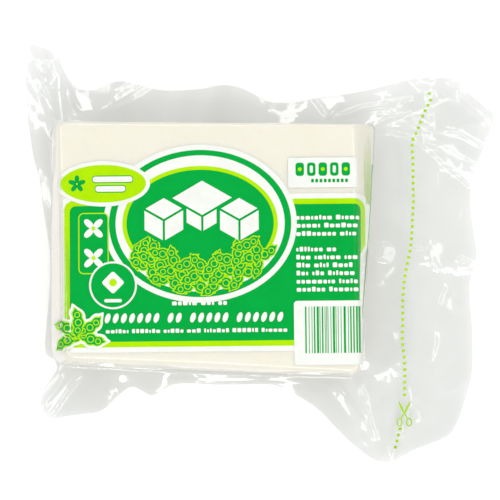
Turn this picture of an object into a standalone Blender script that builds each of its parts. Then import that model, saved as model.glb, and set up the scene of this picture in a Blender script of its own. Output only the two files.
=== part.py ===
"""Vacuum-packed tofu: one firm block sealed in a clear pouch, lying on its back with the label up.

The pouch is shut all round and sucked tight, so block and film are one solid: a block with
slanted sides, and the two welded films as a thin wavy margin that leaves its sides part way up.
Lengths are millimetres here and metres in the model, with +X along the label's lines, +Y
towards their tops and +Z out of the label. The origin lies under the block, on its flat back.
"""

import math

import bmesh
import bpy
from mathutils import Vector
from mathutils.geometry import interpolate_bezier

MM = 0.001

# The block: corners of three level outlines, clockwise from the upper left.
FACE_HEIGHT = 28.0
WAIST_HEIGHT = 12.0
FACE_CORNERS = ((-53.8, 44.2), (54.0, 43.1), (56.5, -47.7), (-51.0, -43.0))
WAIST_CORNERS = ((-57.8, 46.5), (63.9, 45.3), (58.2, -49.5), (-57.5, -45.1))
BACK_INSET = 2.5
EDGE_RADIUS = 3.0
EDGE_SEGMENTS = 3

# The film's cut edge: x, y and height of the points that it bends at, clockwise by stretch.
UPPER_LEFT_EAR = ((-67.2, 60.0, 6.0), (-65.5, 74.0, 7.5), (-57.0, 71.0, 7.0))
TOP = (
    (-47.0, 59.5, 3.2), (-31.4, 61.7, 5.0), (-12.0, 58.7, 3.5), (8.0, 60.3, 4.8),
    (28.1, 54.5, 2.0), (59.9, 58.1, 5.0), (87.0, 62.6, 6.8),
)
UPPER_RIGHT_EAR = ((99.5, 55.4, 7.5), (108.2, 48.0, 7.0))
RIGHT = ((100.3, 24.9, 3.2), (101.4, -2.5, 4.5), (99.3, -20.3, 2.5), (99.6, -45.0, 3.5))
LOWER_RIGHT_EAR = ((92.1, -70.1, 1.6), (67.2, -81.0, 2.0), (50.0, -69.5, 1.5))
BOTTOM = (
    (31.0, -54.0, 1.3), (-12.7, -52.0, 1.2), (-20.5, -55.9, 1.5), (-27.5, -52.9, 1.5),
    (-38.0, -60.9, 2.0),
)
LOWER_LEFT_EAR = ((-57.2, -64.6, 3.2), (-61.5, -58.0, 2.5), (-56.5, -46.0, 4.0))
LEFT = ((-60.0, -39.0, 2.2), (-58.8, -14.0, 1.5), (-62.8, 25.7, 3.0))
STRETCHES = (
    UPPER_LEFT_EAR, TOP, UPPER_RIGHT_EAR, RIGHT, LOWER_RIGHT_EAR, BOTTOM, LOWER_LEFT_EAR, LEFT,
)
STEPS_PER_SPAN = 4

# The film margin: how it starts inside the block, how thick both films are, how it ripples.
ROOT_HALF_SIZE = (51.0, 40.0)
ROOT_RADIUS = 12.0
ROOT_HEIGHT = 10.0
FILM_THICKNESS = 0.8
FILM_RINGS = 5
RIPPLE_HEIGHT = 0.9
RIPPLE_COUNT = 17

POUCH_COLOR = (0.94, 0.92, 0.84, 1.0)
POUCH_ROUGHNESS = 0.3


def remove_all_objects():
    """Empty the scene."""
    for old in list(bpy.data.objects):
        bpy.data.objects.remove(old, do_unlink=True)


def pouch_material():
    """Give the cream of tofu seen through glossy film."""
    material = bpy.data.materials.new("pouch")
    material.use_nodes = True
    shader = material.node_tree.nodes["Principled BSDF"]
    shader.inputs["Base Color"].default_value = POUCH_COLOR
    shader.inputs["Roughness"].default_value = POUCH_ROUGHNESS
    shader.inputs["Metallic"].default_value = 0.0
    return material


def object_from(name, mesh_data):
    """Put a finished bmesh into the scene as a named object."""
    mesh = bpy.data.meshes.new(name)
    mesh_data.to_mesh(mesh)
    mesh_data.free()
    thing = bpy.data.objects.new(name, mesh)
    bpy.context.scene.collection.objects.link(thing)
    return thing


def inset(corners, distance):
    """Move corners towards the origin by the same distance along X and along Y."""
    return [
        (x - math.copysign(distance, x), y - math.copysign(distance, y)) for x, y in corners
    ]


def block(name):
    """Loft the block through its back, waist and face, and round its edges."""
    levels = (
        (inset(WAIST_CORNERS, BACK_INSET), 0.0),
        (WAIST_CORNERS, WAIST_HEIGHT),
        (FACE_CORNERS, FACE_HEIGHT),
    )
    shape = bmesh.new()
    rings = []
    for corners, height in levels:
        rings.append([shape.verts.new(Vector((x, y, height)) * MM) for x, y in corners])
    shape.faces.new(rings[0])
    shape.faces.new(reversed(rings[-1]))
    for lower, upper in zip(rings, rings[1:]):
        for i in range(len(lower)):
            j = (i + 1) % len(lower)
            shape.faces.new((lower[j], lower[i], upper[i], upper[j]))
    bmesh.ops.bevel(
        shape, geom=list(shape.edges), offset=EDGE_RADIUS * MM, offset_type="OFFSET",
        segments=EDGE_SEGMENTS, profile=0.5, affect="EDGES", clamp_overlap=True,
    )
    bmesh.ops.recalc_face_normals(shape, faces=shape.faces)
    return object_from(name, shape)


def film_edge():
    """Run a smooth closed curve through the points of the film's cut edge."""
    points = [Vector(point) for stretch in STRETCHES for point in stretch]
    count = len(points)
    curve = []
    for i, here in enumerate(points):
        before = points[i - 1]
        there = points[(i + 1) % count]
        after = points[(i + 2) % count]
        leave = here + (there - before) / 6.0
        arrive = there - (after - here) / 6.0
        curve += interpolate_bezier(here, leave, arrive, there, STEPS_PER_SPAN + 1)[:-1]
    return curve


def film_root(outer):
    """Give the point inside the block that the film under an edge point starts from."""
    x, y = (
        min(max(value, ROOT_RADIUS - half), half - ROOT_RADIUS)
        for value, half in zip(outer.xy, ROOT_HALF_SIZE)
    )
    centre = Vector((x, y))
    root = centre + (outer.xy - centre).normalized() * ROOT_RADIUS
    return Vector((root.x, root.y, ROOT_HEIGHT))


def film_margin(name):
    """Make the welded films round the block as one thin rippled sheet with a real thickness."""
    shape = bmesh.new()
    edge = film_edge()
    rings = [[] for _ in range(FILM_RINGS + 1)]
    for outer in edge:
        root = film_root(outer)
        angle = math.atan2(outer.y, outer.x)
        for step, ring in enumerate(rings):
            part = step / FILM_RINGS
            point = root.lerp(outer, part)
            point.z += RIPPLE_HEIGHT * math.sin(RIPPLE_COUNT * angle) * math.sin(math.pi * part)
            ring.append(shape.verts.new(point * MM))
    for inner, outer in zip(rings, rings[1:]):
        for i in range(len(inner)):
            j = (i + 1) % len(inner)
            shape.faces.new((inner[i], outer[i], outer[j], inner[j]))
    film = object_from(name, shape)
    thickness = film.modifiers.new("film thickness", "SOLIDIFY")
    thickness.thickness = FILM_THICKNESS * MM
    thickness.offset = 0.0
    thickness.use_even_offset = False
    film.hide_render = True
    film.display_type = "WIRE"
    return film


def sealed_pouch():
    """Join the block and the film margin into the one solid that the pouch is."""
    pouch = block("sealed_pouch")
    margin = film_margin("film_margin_guide")
    union = pouch.modifiers.new("film margin", "BOOLEAN")
    union.operation = "UNION"
    union.solver = "EXACT"
    union.object = margin
    pouch.data.materials.append(pouch_material())
    pouch.data.shade_smooth()
    pouch.data.set_sharp_from_angle(angle=math.radians(40.0))
    return pouch


remove_all_objects()
sealed_pouch()
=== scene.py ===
"""Looks of a vacuum-packed tofu block: the clear pouch, the block in it, its print, the studio.

The pouch is one closed skin of clear film. It hugs the block, leaves its sides part way up as two
welded plies, and ends at a wavy cut edge. The block lies inside it, and the print lies on it as
thin layers of ink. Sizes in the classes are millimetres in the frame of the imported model: +X along
the label's lines, +Y towards their tops, +Z out of the label, the origin under the block.
"""

import logging
import math
from dataclasses import dataclass, field
from enum import Enum
from typing import Callable, ClassVar, Iterable, Sequence

import bmesh
import bpy
import numpy as np
from mathutils import Matrix, Vector, noise
from mathutils.bvhtree import BVHTree


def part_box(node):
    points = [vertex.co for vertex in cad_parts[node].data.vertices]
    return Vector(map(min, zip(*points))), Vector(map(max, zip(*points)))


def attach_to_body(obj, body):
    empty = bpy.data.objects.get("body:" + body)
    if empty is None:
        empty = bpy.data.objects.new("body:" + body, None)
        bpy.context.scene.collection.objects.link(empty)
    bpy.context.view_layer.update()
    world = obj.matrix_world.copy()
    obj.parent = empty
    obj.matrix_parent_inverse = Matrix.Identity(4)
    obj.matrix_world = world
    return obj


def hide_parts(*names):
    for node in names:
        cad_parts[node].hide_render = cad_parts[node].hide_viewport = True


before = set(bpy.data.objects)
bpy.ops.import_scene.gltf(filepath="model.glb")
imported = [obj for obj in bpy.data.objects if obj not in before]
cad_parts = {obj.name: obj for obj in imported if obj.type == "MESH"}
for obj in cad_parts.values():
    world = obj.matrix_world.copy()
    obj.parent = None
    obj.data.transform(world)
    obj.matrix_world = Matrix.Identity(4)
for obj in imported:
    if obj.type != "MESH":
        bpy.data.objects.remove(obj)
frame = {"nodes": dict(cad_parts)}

LOG = logging.getLogger("tofu_pack")
MM = 0.001
SEAM_TOLERANCE = 1e-8
POUCH_NODE = "sealed_pouch"
BODY = "root"
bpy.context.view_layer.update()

Point = tuple[float, float]
Spot = tuple[float, float, float]
Color = tuple[float, float, float]
Piece = bpy.types.Object
Node = bpy.types.Node
Rings = list[np.ndarray]


# ---- Node boards and shared shader groups ----


class Board:
    """A node tree being laid out from left to right."""

    column_width = 220.0

    def __init__(self, tree: bpy.types.NodeTree) -> None:
        """Empty a tree and start on it.

        Args:
            tree: The node tree.
        """
        self.tree = tree
        self.tree.nodes.clear()
        self.column = 0

    def put(self, kind: str, sockets: dict | None = None, **settings: object) -> Node:
        """Add one node.

        Args:
            kind: The node's Blender type name.
            sockets: Values for its input sockets, by name or place.
            **settings: Values for its own attributes.

        Returns:
            The new node.
        """
        node = self.tree.nodes.new(kind)
        for name, value in settings.items():
            setattr(node, name, value)
        for key, value in (sockets or {}).items():
            node.inputs[key].default_value = value
        node.location = (self.column_width * self.column, 0.0)
        self.column += 1
        return node

    def wire(self, *links: tuple[Node, str, Node, str | int]) -> None:
        """Link nodes, for each link a node's output to another node's input."""
        for source, output, target, entry in links:
            self.tree.links.new(source.outputs[output], target.inputs[entry])


def new_group(name: str, inputs: dict[str, float], outputs: Iterable[str]) -> Board:
    """Make an empty shader group with float sockets.

    Args:
        name: The group's name.
        inputs: Input sockets and the values that they start from.
        outputs: Output sockets.

    Returns:
        A board on the group, ready for its nodes.
    """
    tree = bpy.data.node_groups.new(name, "ShaderNodeTree")
    for socket, value in inputs.items():
        made = tree.interface.new_socket(socket, in_out="INPUT", socket_type="NodeSocketFloat")
        made.default_value = value
    for socket in outputs:
        tree.interface.new_socket(socket, in_out="OUTPUT", socket_type="NodeSocketFloat")
    return Board(tree)


def film_ripple_group() -> bpy.types.NodeTree:
    """Make the fine ripple that stretched film has everywhere, as a height.

    Returns:
        A group with inputs Size and Crackle and the output Height.
    """
    board = new_group("film ripple", {"Size": 60.0, "Crackle": 0.3}, ("Height",))
    ends = board.put("NodeGroupInput")
    place = board.put("ShaderNodeTexCoord")
    soft = board.put("ShaderNodeTexNoise", {"Detail": 3.0, "Roughness": 0.45, "Distortion": 0.6})
    crackle = board.put("ShaderNodeTexVoronoi", feature="DISTANCE_TO_EDGE")
    finer = board.put("ShaderNodeMath", {1: 2.6}, operation="MULTIPLY")
    capped = board.put("ShaderNodeMath", {1: 0.25}, operation="MINIMUM")
    scaled = board.put("ShaderNodeMath", operation="MULTIPLY")
    total = board.put("ShaderNodeMath", operation="ADD")
    out = board.put("NodeGroupOutput")
    board.wire(
        (place, "Object", soft, "Vector"), (place, "Object", crackle, "Vector"),
        (ends, "Size", soft, "Scale"), (ends, "Size", finer, 0),
        (finer, "Value", crackle, "Scale"), (crackle, "Distance", capped, 0),
        (capped, "Value", scaled, 0), (ends, "Crackle", scaled, 1),
        (soft, "Fac", total, 0), (scaled, "Value", total, 1),
        (total, "Value", out, "Height"),
    )
    return board.tree


def curd_group() -> bpy.types.NodeTree:
    """Make the grain of pressed curd: soft cloudy shade and tiny pits.

    Returns:
        A group with inputs Cloud Size and Pit Size and the outputs Shade and Height.
    """
    board = new_group("curd", {"Cloud Size": 70.0, "Pit Size": 620.0}, ("Shade", "Height"))
    ends = board.put("NodeGroupInput")
    place = board.put("ShaderNodeTexCoord")
    cloud = board.put("ShaderNodeTexNoise", {"Detail": 5.0, "Roughness": 0.62})
    pits = board.put("ShaderNodeTexVoronoi", {"Randomness": 1.0}, feature="SMOOTH_F1")
    depth = board.put("ShaderNodeMapRange", {"From Min": 0.05, "From Max": 0.35})
    both = board.put("ShaderNodeMath", {2: 0.0}, operation="MULTIPLY_ADD")
    out = board.put("NodeGroupOutput")
    board.wire(
        (place, "Object", cloud, "Vector"), (place, "Object", pits, "Vector"),
        (ends, "Cloud Size", cloud, "Scale"), (ends, "Pit Size", pits, "Scale"),
        (pits, "Distance", depth, "Value"), (cloud, "Fac", both, 0),
        (depth, "Result", both, 1), (cloud, "Fac", out, "Shade"),
        (both, "Value", out, "Height"),
    )
    return board.tree


def ink_group() -> bpy.types.NodeTree:
    """Make the slight unevenness of printed ink.

    Returns:
        A group with the input Size and the output Shade, near 0.5.
    """
    board = new_group("ink lay", {"Size": 160.0}, ("Shade",))
    ends = board.put("NodeGroupInput")
    place = board.put("ShaderNodeTexCoord")
    lay = board.put("ShaderNodeTexNoise", {"Detail": 6.0, "Roughness": 0.7})
    out = board.put("NodeGroupOutput")
    board.wire(
        (place, "Object", lay, "Vector"), (ends, "Size", lay, "Scale"),
        (lay, "Fac", out, "Shade"),
    )
    return board.tree


class SharedGroups:
    """The shader groups that several finishes use, each made once."""

    def __init__(self) -> None:
        """Make every group."""
        self.film_ripple = film_ripple_group()
        self.curd = curd_group()
        self.ink = ink_group()

    def place(self, board: Board, tree: bpy.types.NodeTree, **values: float) -> Node:
        """Put a group into a material.

        Args:
            board: The material's board.
            tree: The group.
            **values: Input values by socket name, with _ for a space.

        Returns:
            The group node.
        """
        node = board.put("ShaderNodeGroup", node_tree=tree)
        for name, value in values.items():
            node.inputs[name.replace("_", " ")].default_value = value
        return node


def new_material(name: str) -> tuple[bpy.types.Material, Board]:
    """Make an empty node material.

    Args:
        name: The material's name.

    Returns:
        The material and a board on it.
    """
    material = bpy.data.materials.new(name)
    material.use_nodes = True
    return material, Board(material.node_tree)


# ---- Finishes ----


@dataclass(frozen=True)
class FilmFinish:
    """Clear, tight, glossy plastic film, one ply thick."""

    tint: Color = (0.915, 0.919, 0.912)
    gloss_color: Color = (1.0, 1.0, 1.0)
    roughness: float = 0.08
    ior: float = 1.5
    shine: float = 1.2
    ripple_size: float = 70.0
    crackle: float = 0.35
    ripple_depth: float = 0.0004
    ripple_strength: float = 0.6

    def material(self, groups: SharedGroups) -> bpy.types.Material:
        """Make the film: seen straight through, with its gloss mixed in by angle.

        Args:
            groups: The shared shader groups.

        Returns:
            The finished material.
        """
        material, board = new_material("clear_film")
        ripple = groups.place(
            board, groups.film_ripple, Size=self.ripple_size, Crackle=self.crackle
        )
        bump = board.put(
            "ShaderNodeBump", {"Strength": self.ripple_strength, "Distance": self.ripple_depth}
        )
        side = board.put("ShaderNodeNewGeometry")
        facing = board.put(
            "ShaderNodeMath",
            {1: 1.0 / self.ior - self.ior, 2: self.ior},
            operation="MULTIPLY_ADD",
        )
        fresnel = board.put("ShaderNodeFresnel")
        share = board.put("ShaderNodeMath", {1: self.shine}, operation="MULTIPLY", use_clamp=True)
        clear = board.put("ShaderNodeBsdfTransparent", {"Color": (*self.tint, 1.0)})
        gloss = board.put(
            "ShaderNodeBsdfPrincipled",
            {"Base Color": (*self.gloss_color, 1.0), "Metallic": 1.0, "Roughness": self.roughness},
        )
        mix = board.put("ShaderNodeMixShader")
        out = board.put("ShaderNodeOutputMaterial")
        board.wire(
            (ripple, "Height", bump, "Height"), (side, "Backfacing", facing, 0),
            (facing, "Value", fresnel, "IOR"), (bump, "Normal", fresnel, "Normal"),
            (bump, "Normal", gloss, "Normal"), (fresnel, "Fac", share, 0),
            (share, "Value", mix, 0), (clear, "BSDF", mix, 1),
            (gloss, "BSDF", mix, 2), (mix, "Shader", out, "Surface"),
        )
        return material


@dataclass(frozen=True)
class TofuFinish:
    """Pressed soya curd: cream, faintly cloudy, soft to light."""

    light: Color = (0.95, 0.91, 0.805)
    dark: Color = (0.93, 0.885, 0.76)
    shade_range: tuple[float, float] = (0.32, 0.68)
    cloud_size: float = 70.0
    pit_size: float = 620.0
    pit_depth: float = 0.0003
    pit_strength: float = 0.35
    roughness: float = 0.45
    scatter: float = 0.25
    scatter_radius: tuple[float, float, float] = (0.006, 0.0045, 0.003)

    def material(self, groups: SharedGroups) -> bpy.types.Material:
        """Make the curd.

        Args:
            groups: The shared shader groups.

        Returns:
            The finished material.
        """
        material, board = new_material("pressed_curd")
        curd = groups.place(
            board, groups.curd, Cloud_Size=self.cloud_size, Pit_Size=self.pit_size
        )
        shade = board.put("ShaderNodeValToRGB")
        for stop, place, color in zip(
            shade.color_ramp.elements, self.shade_range, (self.dark, self.light)
        ):
            stop.position = place
            stop.color = (*color, 1.0)
        bump = board.put(
            "ShaderNodeBump", {"Strength": self.pit_strength, "Distance": self.pit_depth}
        )
        shader = board.put(
            "ShaderNodeBsdfPrincipled",
            {
                "Roughness": self.roughness,
                "Subsurface Weight": self.scatter,
                "Subsurface Radius": self.scatter_radius,
                "Subsurface Scale": 1.0,
            },
        )
        out = board.put("ShaderNodeOutputMaterial")
        board.wire(
            (curd, "Shade", shade, "Fac"), (shade, "Color", shader, "Base Color"),
            (curd, "Height", bump, "Height"), (bump, "Normal", shader, "Normal"),
            (shader, "BSDF", out, "Surface"),
        )
        return material


class Ink(Enum):
    """The inks that the pouch is printed with, and a painted refraction: a name, a linear colour and
    how well it covers.
    """

    WHITE = ("white_ink", (0.775, 0.79, 0.745), 1.0)
    LIME = ("lime_ink", (0.385, 0.70, 0.0), 1.0)
    GREEN = ("green_ink", (0.0, 0.345, 0.045), 1.0)
    OLIVE = ("olive_ink", (0.37, 0.62, 0.01), 1.0)
    # painted refraction: the block's yellow-green tint seen through the tented film, painted as a
    # thin ink; not print
    PAINTED_REFRACTION = ("painted_refraction_ink", (0.40, 0.66, 0.03), 0.4)


@dataclass(frozen=True)
class InkFinish:
    """Printed ink seen on glossy film, and the painted refraction."""

    ink: Ink
    roughness: float = 0.16
    specular: float = 0.12
    lay_size: float = 160.0
    shade_range: tuple[float, float] = (0.3, 0.7)
    unevenness: float = 0.05
    ripple_size: float = 70.0
    crackle: float = 0.2
    ripple_depth: float = 0.0003
    ripple_strength: float = 0.4
    # where the painted refraction fades out: gone at the first height up the pack, whole at the
    # second, in metres
    fade: tuple[float, float] = (0.042, 0.014)

    def material(self, groups: SharedGroups) -> bpy.types.Material:
        """Make the ink.

        Args:
            groups: The shared shader groups.

        Returns:
            The finished material.
        """
        name, color, cover = self.ink.value
        material, board = new_material(name)
        lay = groups.place(board, groups.ink, Size=self.lay_size)
        shade = board.put("ShaderNodeValToRGB")
        for stop, place, change in zip(
            shade.color_ramp.elements, self.shade_range, (-self.unevenness, self.unevenness)
        ):
            stop.position = place
            stop.color = (*(min(1.0, part * (1.0 + change)) for part in color), 1.0)
        ripple = groups.place(
            board, groups.film_ripple, Size=self.ripple_size, Crackle=self.crackle
        )
        bump = board.put(
            "ShaderNodeBump", {"Strength": self.ripple_strength, "Distance": self.ripple_depth}
        )
        shader = board.put(
            "ShaderNodeBsdfPrincipled",
            {"Roughness": self.roughness, "Specular IOR Level": self.specular, "Alpha": cover},
        )
        out = board.put("ShaderNodeOutputMaterial")
        board.wire(
            (lay, "Shade", shade, "Fac"), (shade, "Color", shader, "Base Color"),
            (ripple, "Height", bump, "Height"), (bump, "Normal", shader, "Normal"),
            (shader, "BSDF", out, "Surface"),
        )
        # the painted refraction fades out towards the top of the pack
        if self.ink is Ink.PAINTED_REFRACTION:
            self.fade_painted_refraction(board, shader, cover)
        return material

    def fade_painted_refraction(self, board: Board, shader: Node, cover: float) -> None:
        """Let the painted refraction fade out towards the top of the pack.

        Args:
            board: The material's board.
            shader: The ink's shader.
            cover: How strongly the painted refraction covers where it is strongest.
        """
        place = board.put("ShaderNodeTexCoord")
        split = board.put("ShaderNodeSeparateXYZ")
        thin = board.put(
            "ShaderNodeMapRange",
            {"From Min": self.fade[0], "From Max": self.fade[1], "To Min": 0.0, "To Max": cover},
        )
        board.wire(
            (place, "Object", split, "Vector"), (split, "Y", thin, "Value"),
            (thin, "Result", shader, "Alpha"),
        )


@dataclass(frozen=True)
class FloorFinish:
    """Plain matt white studio board that glows a little."""

    color: Color = (0.94, 0.94, 0.94)
    roughness: float = 0.9
    specular: float = 0.1
    glow_color: Color = (1.0, 1.0, 1.0)
    glow: float = 0.06

    def material(self) -> bpy.types.Material:
        """Make the board.

        Returns:
            The finished material.
        """
        material, board = new_material("studio_board")
        shader = board.put(
            "ShaderNodeBsdfPrincipled",
            {
                "Base Color": (*self.color, 1.0),
                "Roughness": self.roughness,
                "Specular IOR Level": self.specular,
                "Emission Color": (*self.glow_color, 1.0),
                "Emission Strength": self.glow,
            },
        )
        out = board.put("ShaderNodeOutputMaterial")
        board.wire(
            (shader, "BSDF", out, "Surface"),
        )
        return material


# ---- Curves in the plane ----


def smooth_loop(points: np.ndarray, steps: int) -> np.ndarray:
    """Run a closed smooth curve through points.

    Args:
        points: One row for each point.
        steps: How many points each span between two of them gets.

    Returns:
        The curve's points, in order, without repeating the first.
    """
    before, start, end, after = (np.roll(points, shift, axis=0) for shift in (1, 0, -1, -2))

    def gap(one: np.ndarray, other: np.ndarray) -> np.ndarray:
        """Give the square root of the distance between matching rows."""
        return np.sqrt(np.linalg.norm(other - one, axis=1))[:, None]

    t1 = gap(before, start)
    t2 = t1 + gap(start, end)
    t3 = t2 + gap(end, after)
    spans = []
    for step in range(steps):
        t = t1 + (t2 - t1) * step / steps
        a1 = ((t1 - t) * before + t * start) / t1
        a2 = ((t2 - t) * start + (t - t1) * end) / (t2 - t1)
        a3 = ((t3 - t) * end + (t - t2) * after) / (t3 - t2)
        b1 = ((t2 - t) * a1 + t * a2) / t2
        b2 = ((t3 - t) * a2 + (t - t1) * a3) / (t3 - t1)
        spans.append(((t2 - t) * b1 + (t - t1) * b2) / (t2 - t1))
    return np.stack(spans, axis=1).reshape(-1, points.shape[1])


def lengths_along(line: np.ndarray) -> np.ndarray:
    """Give how far along a line of straight spans each of its corners lies."""
    return np.concatenate([[0.0], np.cumsum(np.linalg.norm(np.diff(line, axis=0), axis=1))])


def even_loop(points: np.ndarray, count: int) -> np.ndarray:
    """Place points evenly along a closed line.

    Args:
        points: The line's corners.
        count: How many points to place.

    Returns:
        The placed points, the first of them at the line's first corner.
    """
    closed = np.vstack([points, points[:1]])
    along = lengths_along(closed)
    wanted = np.linspace(0.0, along[-1], count, endpoint=False)
    return np.stack([np.interp(wanted, along, closed[:, axis]) for axis in range(3)], axis=1)


def bend(start: np.ndarray, corner: np.ndarray, end: np.ndarray, share: float) -> np.ndarray:
    """Give the points, at a share from 0 to 1, of the curves that round corners."""
    rest = 1 - share
    return rest ** 2 * start + 2 * share * rest * corner + share * share * end


def rounded_ring(
    corners: Sequence[Point], radii: Sequence[float], straight: int, turn: int
) -> np.ndarray:
    """Draw a four-cornered ring with rounded corners.

    Args:
        corners: The sharp corners, in order round the ring.
        radii: How far along its two sides each corner's rounding starts.
        straight: How many points each side gets.
        turn: How many points each corner gets.

    Returns:
        The ring's points. Rings with the same counts match point by point.
    """
    sharp = np.array(corners, float)
    starts, ends = [], []
    for i, corner in enumerate(sharp):
        back = sharp[i - 1] - corner
        on = sharp[(i + 1) % 4] - corner
        starts.append(corner + back / np.linalg.norm(back) * radii[i])
        ends.append(corner + on / np.linalg.norm(on) * radii[i])
    ring = []
    for i, corner in enumerate(sharp):
        for t in np.arange(turn) / turn:
            ring.append(bend(starts[i], corner, ends[i], t))
        for t in np.arange(straight) / straight:
            ring.append((1 - t) * ends[i] + t * starts[(i + 1) % 4])
    return np.array(ring)


def ring_at(ring: np.ndarray, place: np.ndarray) -> np.ndarray:
    """Give the points of a ring at places along it.

    Args:
        ring: The ring's points.
        place: Places counted in points of the ring. They may be fractions and may run past it.

    Returns:
        One point for each place.
    """
    low = np.floor(place).astype(int)
    part = (place - low)[:, None]
    return ring[low % len(ring)] * (1 - part) + ring[(low + 1) % len(ring)] * part


def shrink_ring(ring: np.ndarray, by: float) -> np.ndarray:
    """Move a clockwise ring inwards.

    Args:
        ring: The ring's points in the plane.
        by: How far each point moves.

    Returns:
        The moved points.
    """
    along = np.roll(ring, -1, axis=0) - np.roll(ring, 1, axis=0)
    along /= np.linalg.norm(along, axis=1)[:, None]
    inward = np.stack([along[:, 1], -along[:, 0]], axis=1)
    return ring + inward * by


def around_ring(values: np.ndarray, width: int, lap: float = 0.0) -> np.ndarray:
    """Smooth values that run round a ring.

    Args:
        values: One value for each point of the ring.
        width: How many points, an odd number, each result takes in.
        lap: How much the values have risen after one turn round the ring.

    Returns:
        The smoothed values.
    """
    kernel = np.hanning(width + 2)[1:-1]
    half = width // 2
    padded = np.concatenate([values[-half:] - lap, values, values[:half] + lap])
    return np.convolve(padded, kernel / kernel.sum(), mode="valid")


def smoothstep(low: float, high: float, value: np.ndarray) -> np.ndarray:
    """Rise smoothly from 0 at low to 1 at high."""
    t = np.clip((value - low) / (high - low), 0.0, 1.0)
    return t * t * (3.0 - 2.0 * t)


def cloud(points: np.ndarray, size: float, seed: float) -> np.ndarray:
    """Give smooth noise of a grain size, from about -1 to 1, at each point in the plane."""
    return np.array([noise.noise(Vector((x / size, y / size, seed))) for x, y in points])


# ---- Mesh making ----


def deselect_all() -> None:
    """Leave no object selected, so that operators act on the new piece only."""
    if bpy.context.mode != "OBJECT":
        bpy.ops.object.mode_set(mode="OBJECT")
    bpy.ops.object.select_all(action="DESELECT")


def face_outward(mesh: bpy.types.Mesh) -> None:
    """Turn the faces of a closed mesh over if they look inwards.

    Args:
        mesh: The mesh, whose faces agree with each other.
    """
    shape = bmesh.new()
    shape.from_mesh(mesh)
    if shape.calc_volume(signed=True) < 0.0:
        bmesh.ops.reverse_faces(shape, faces=shape.faces)
        shape.to_mesh(mesh)
    shape.free()


def skin_from_rows(name: str, rows: Rings) -> Piece:
    """Roll a grid into a closed skin whose rows are rings, and close both of its ends.

    Args:
        name: The piece's name.
        rows: Rings of points in millimetres, all of one length, from one end to the other.

    Returns:
        The skin, its object at the origin.
    """
    deselect_all()
    around = len(rows[0])
    bpy.ops.mesh.primitive_grid_add(
        x_subdivisions=around, y_subdivisions=len(rows) - 1, size=2.0, calc_uvs=False
    )
    skin = bpy.context.object
    skin.name = skin.data.name = name
    table = np.stack(rows)
    table = np.concatenate([table, table[:, :1]], axis=1) * MM
    skin.data.vertices.foreach_set("co", table.reshape(-1))
    skin.data.update()
    bpy.ops.object.mode_set(mode="EDIT")
    bpy.ops.mesh.select_all(action="SELECT")
    bpy.ops.mesh.remove_doubles(threshold=SEAM_TOLERANCE)
    bpy.ops.mesh.select_all(action="DESELECT")
    bpy.ops.mesh.select_mode(type="EDGE")
    bpy.ops.mesh.select_non_manifold(extend=False)
    bpy.ops.mesh.fill_holes(sides=0)
    bpy.ops.mesh.select_all(action="SELECT")
    bpy.ops.mesh.normals_make_consistent(inside=False)
    bpy.ops.object.mode_set(mode="OBJECT")
    face_outward(skin.data)
    return skin


# ---- The block and the film round it ----


@dataclass(frozen=True)
class BackShape:
    """A back: its height, how wide its round edge is, and where its rings lie.

    The turns run round the edge, from 0 at the wall to 1 on the back. The shares run over the
    back, from 1 where its edge ends to 0 in its middle.
    """

    height: float
    edge_share: float
    turns: tuple[float, ...]
    shares: tuple[float, ...]


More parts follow.
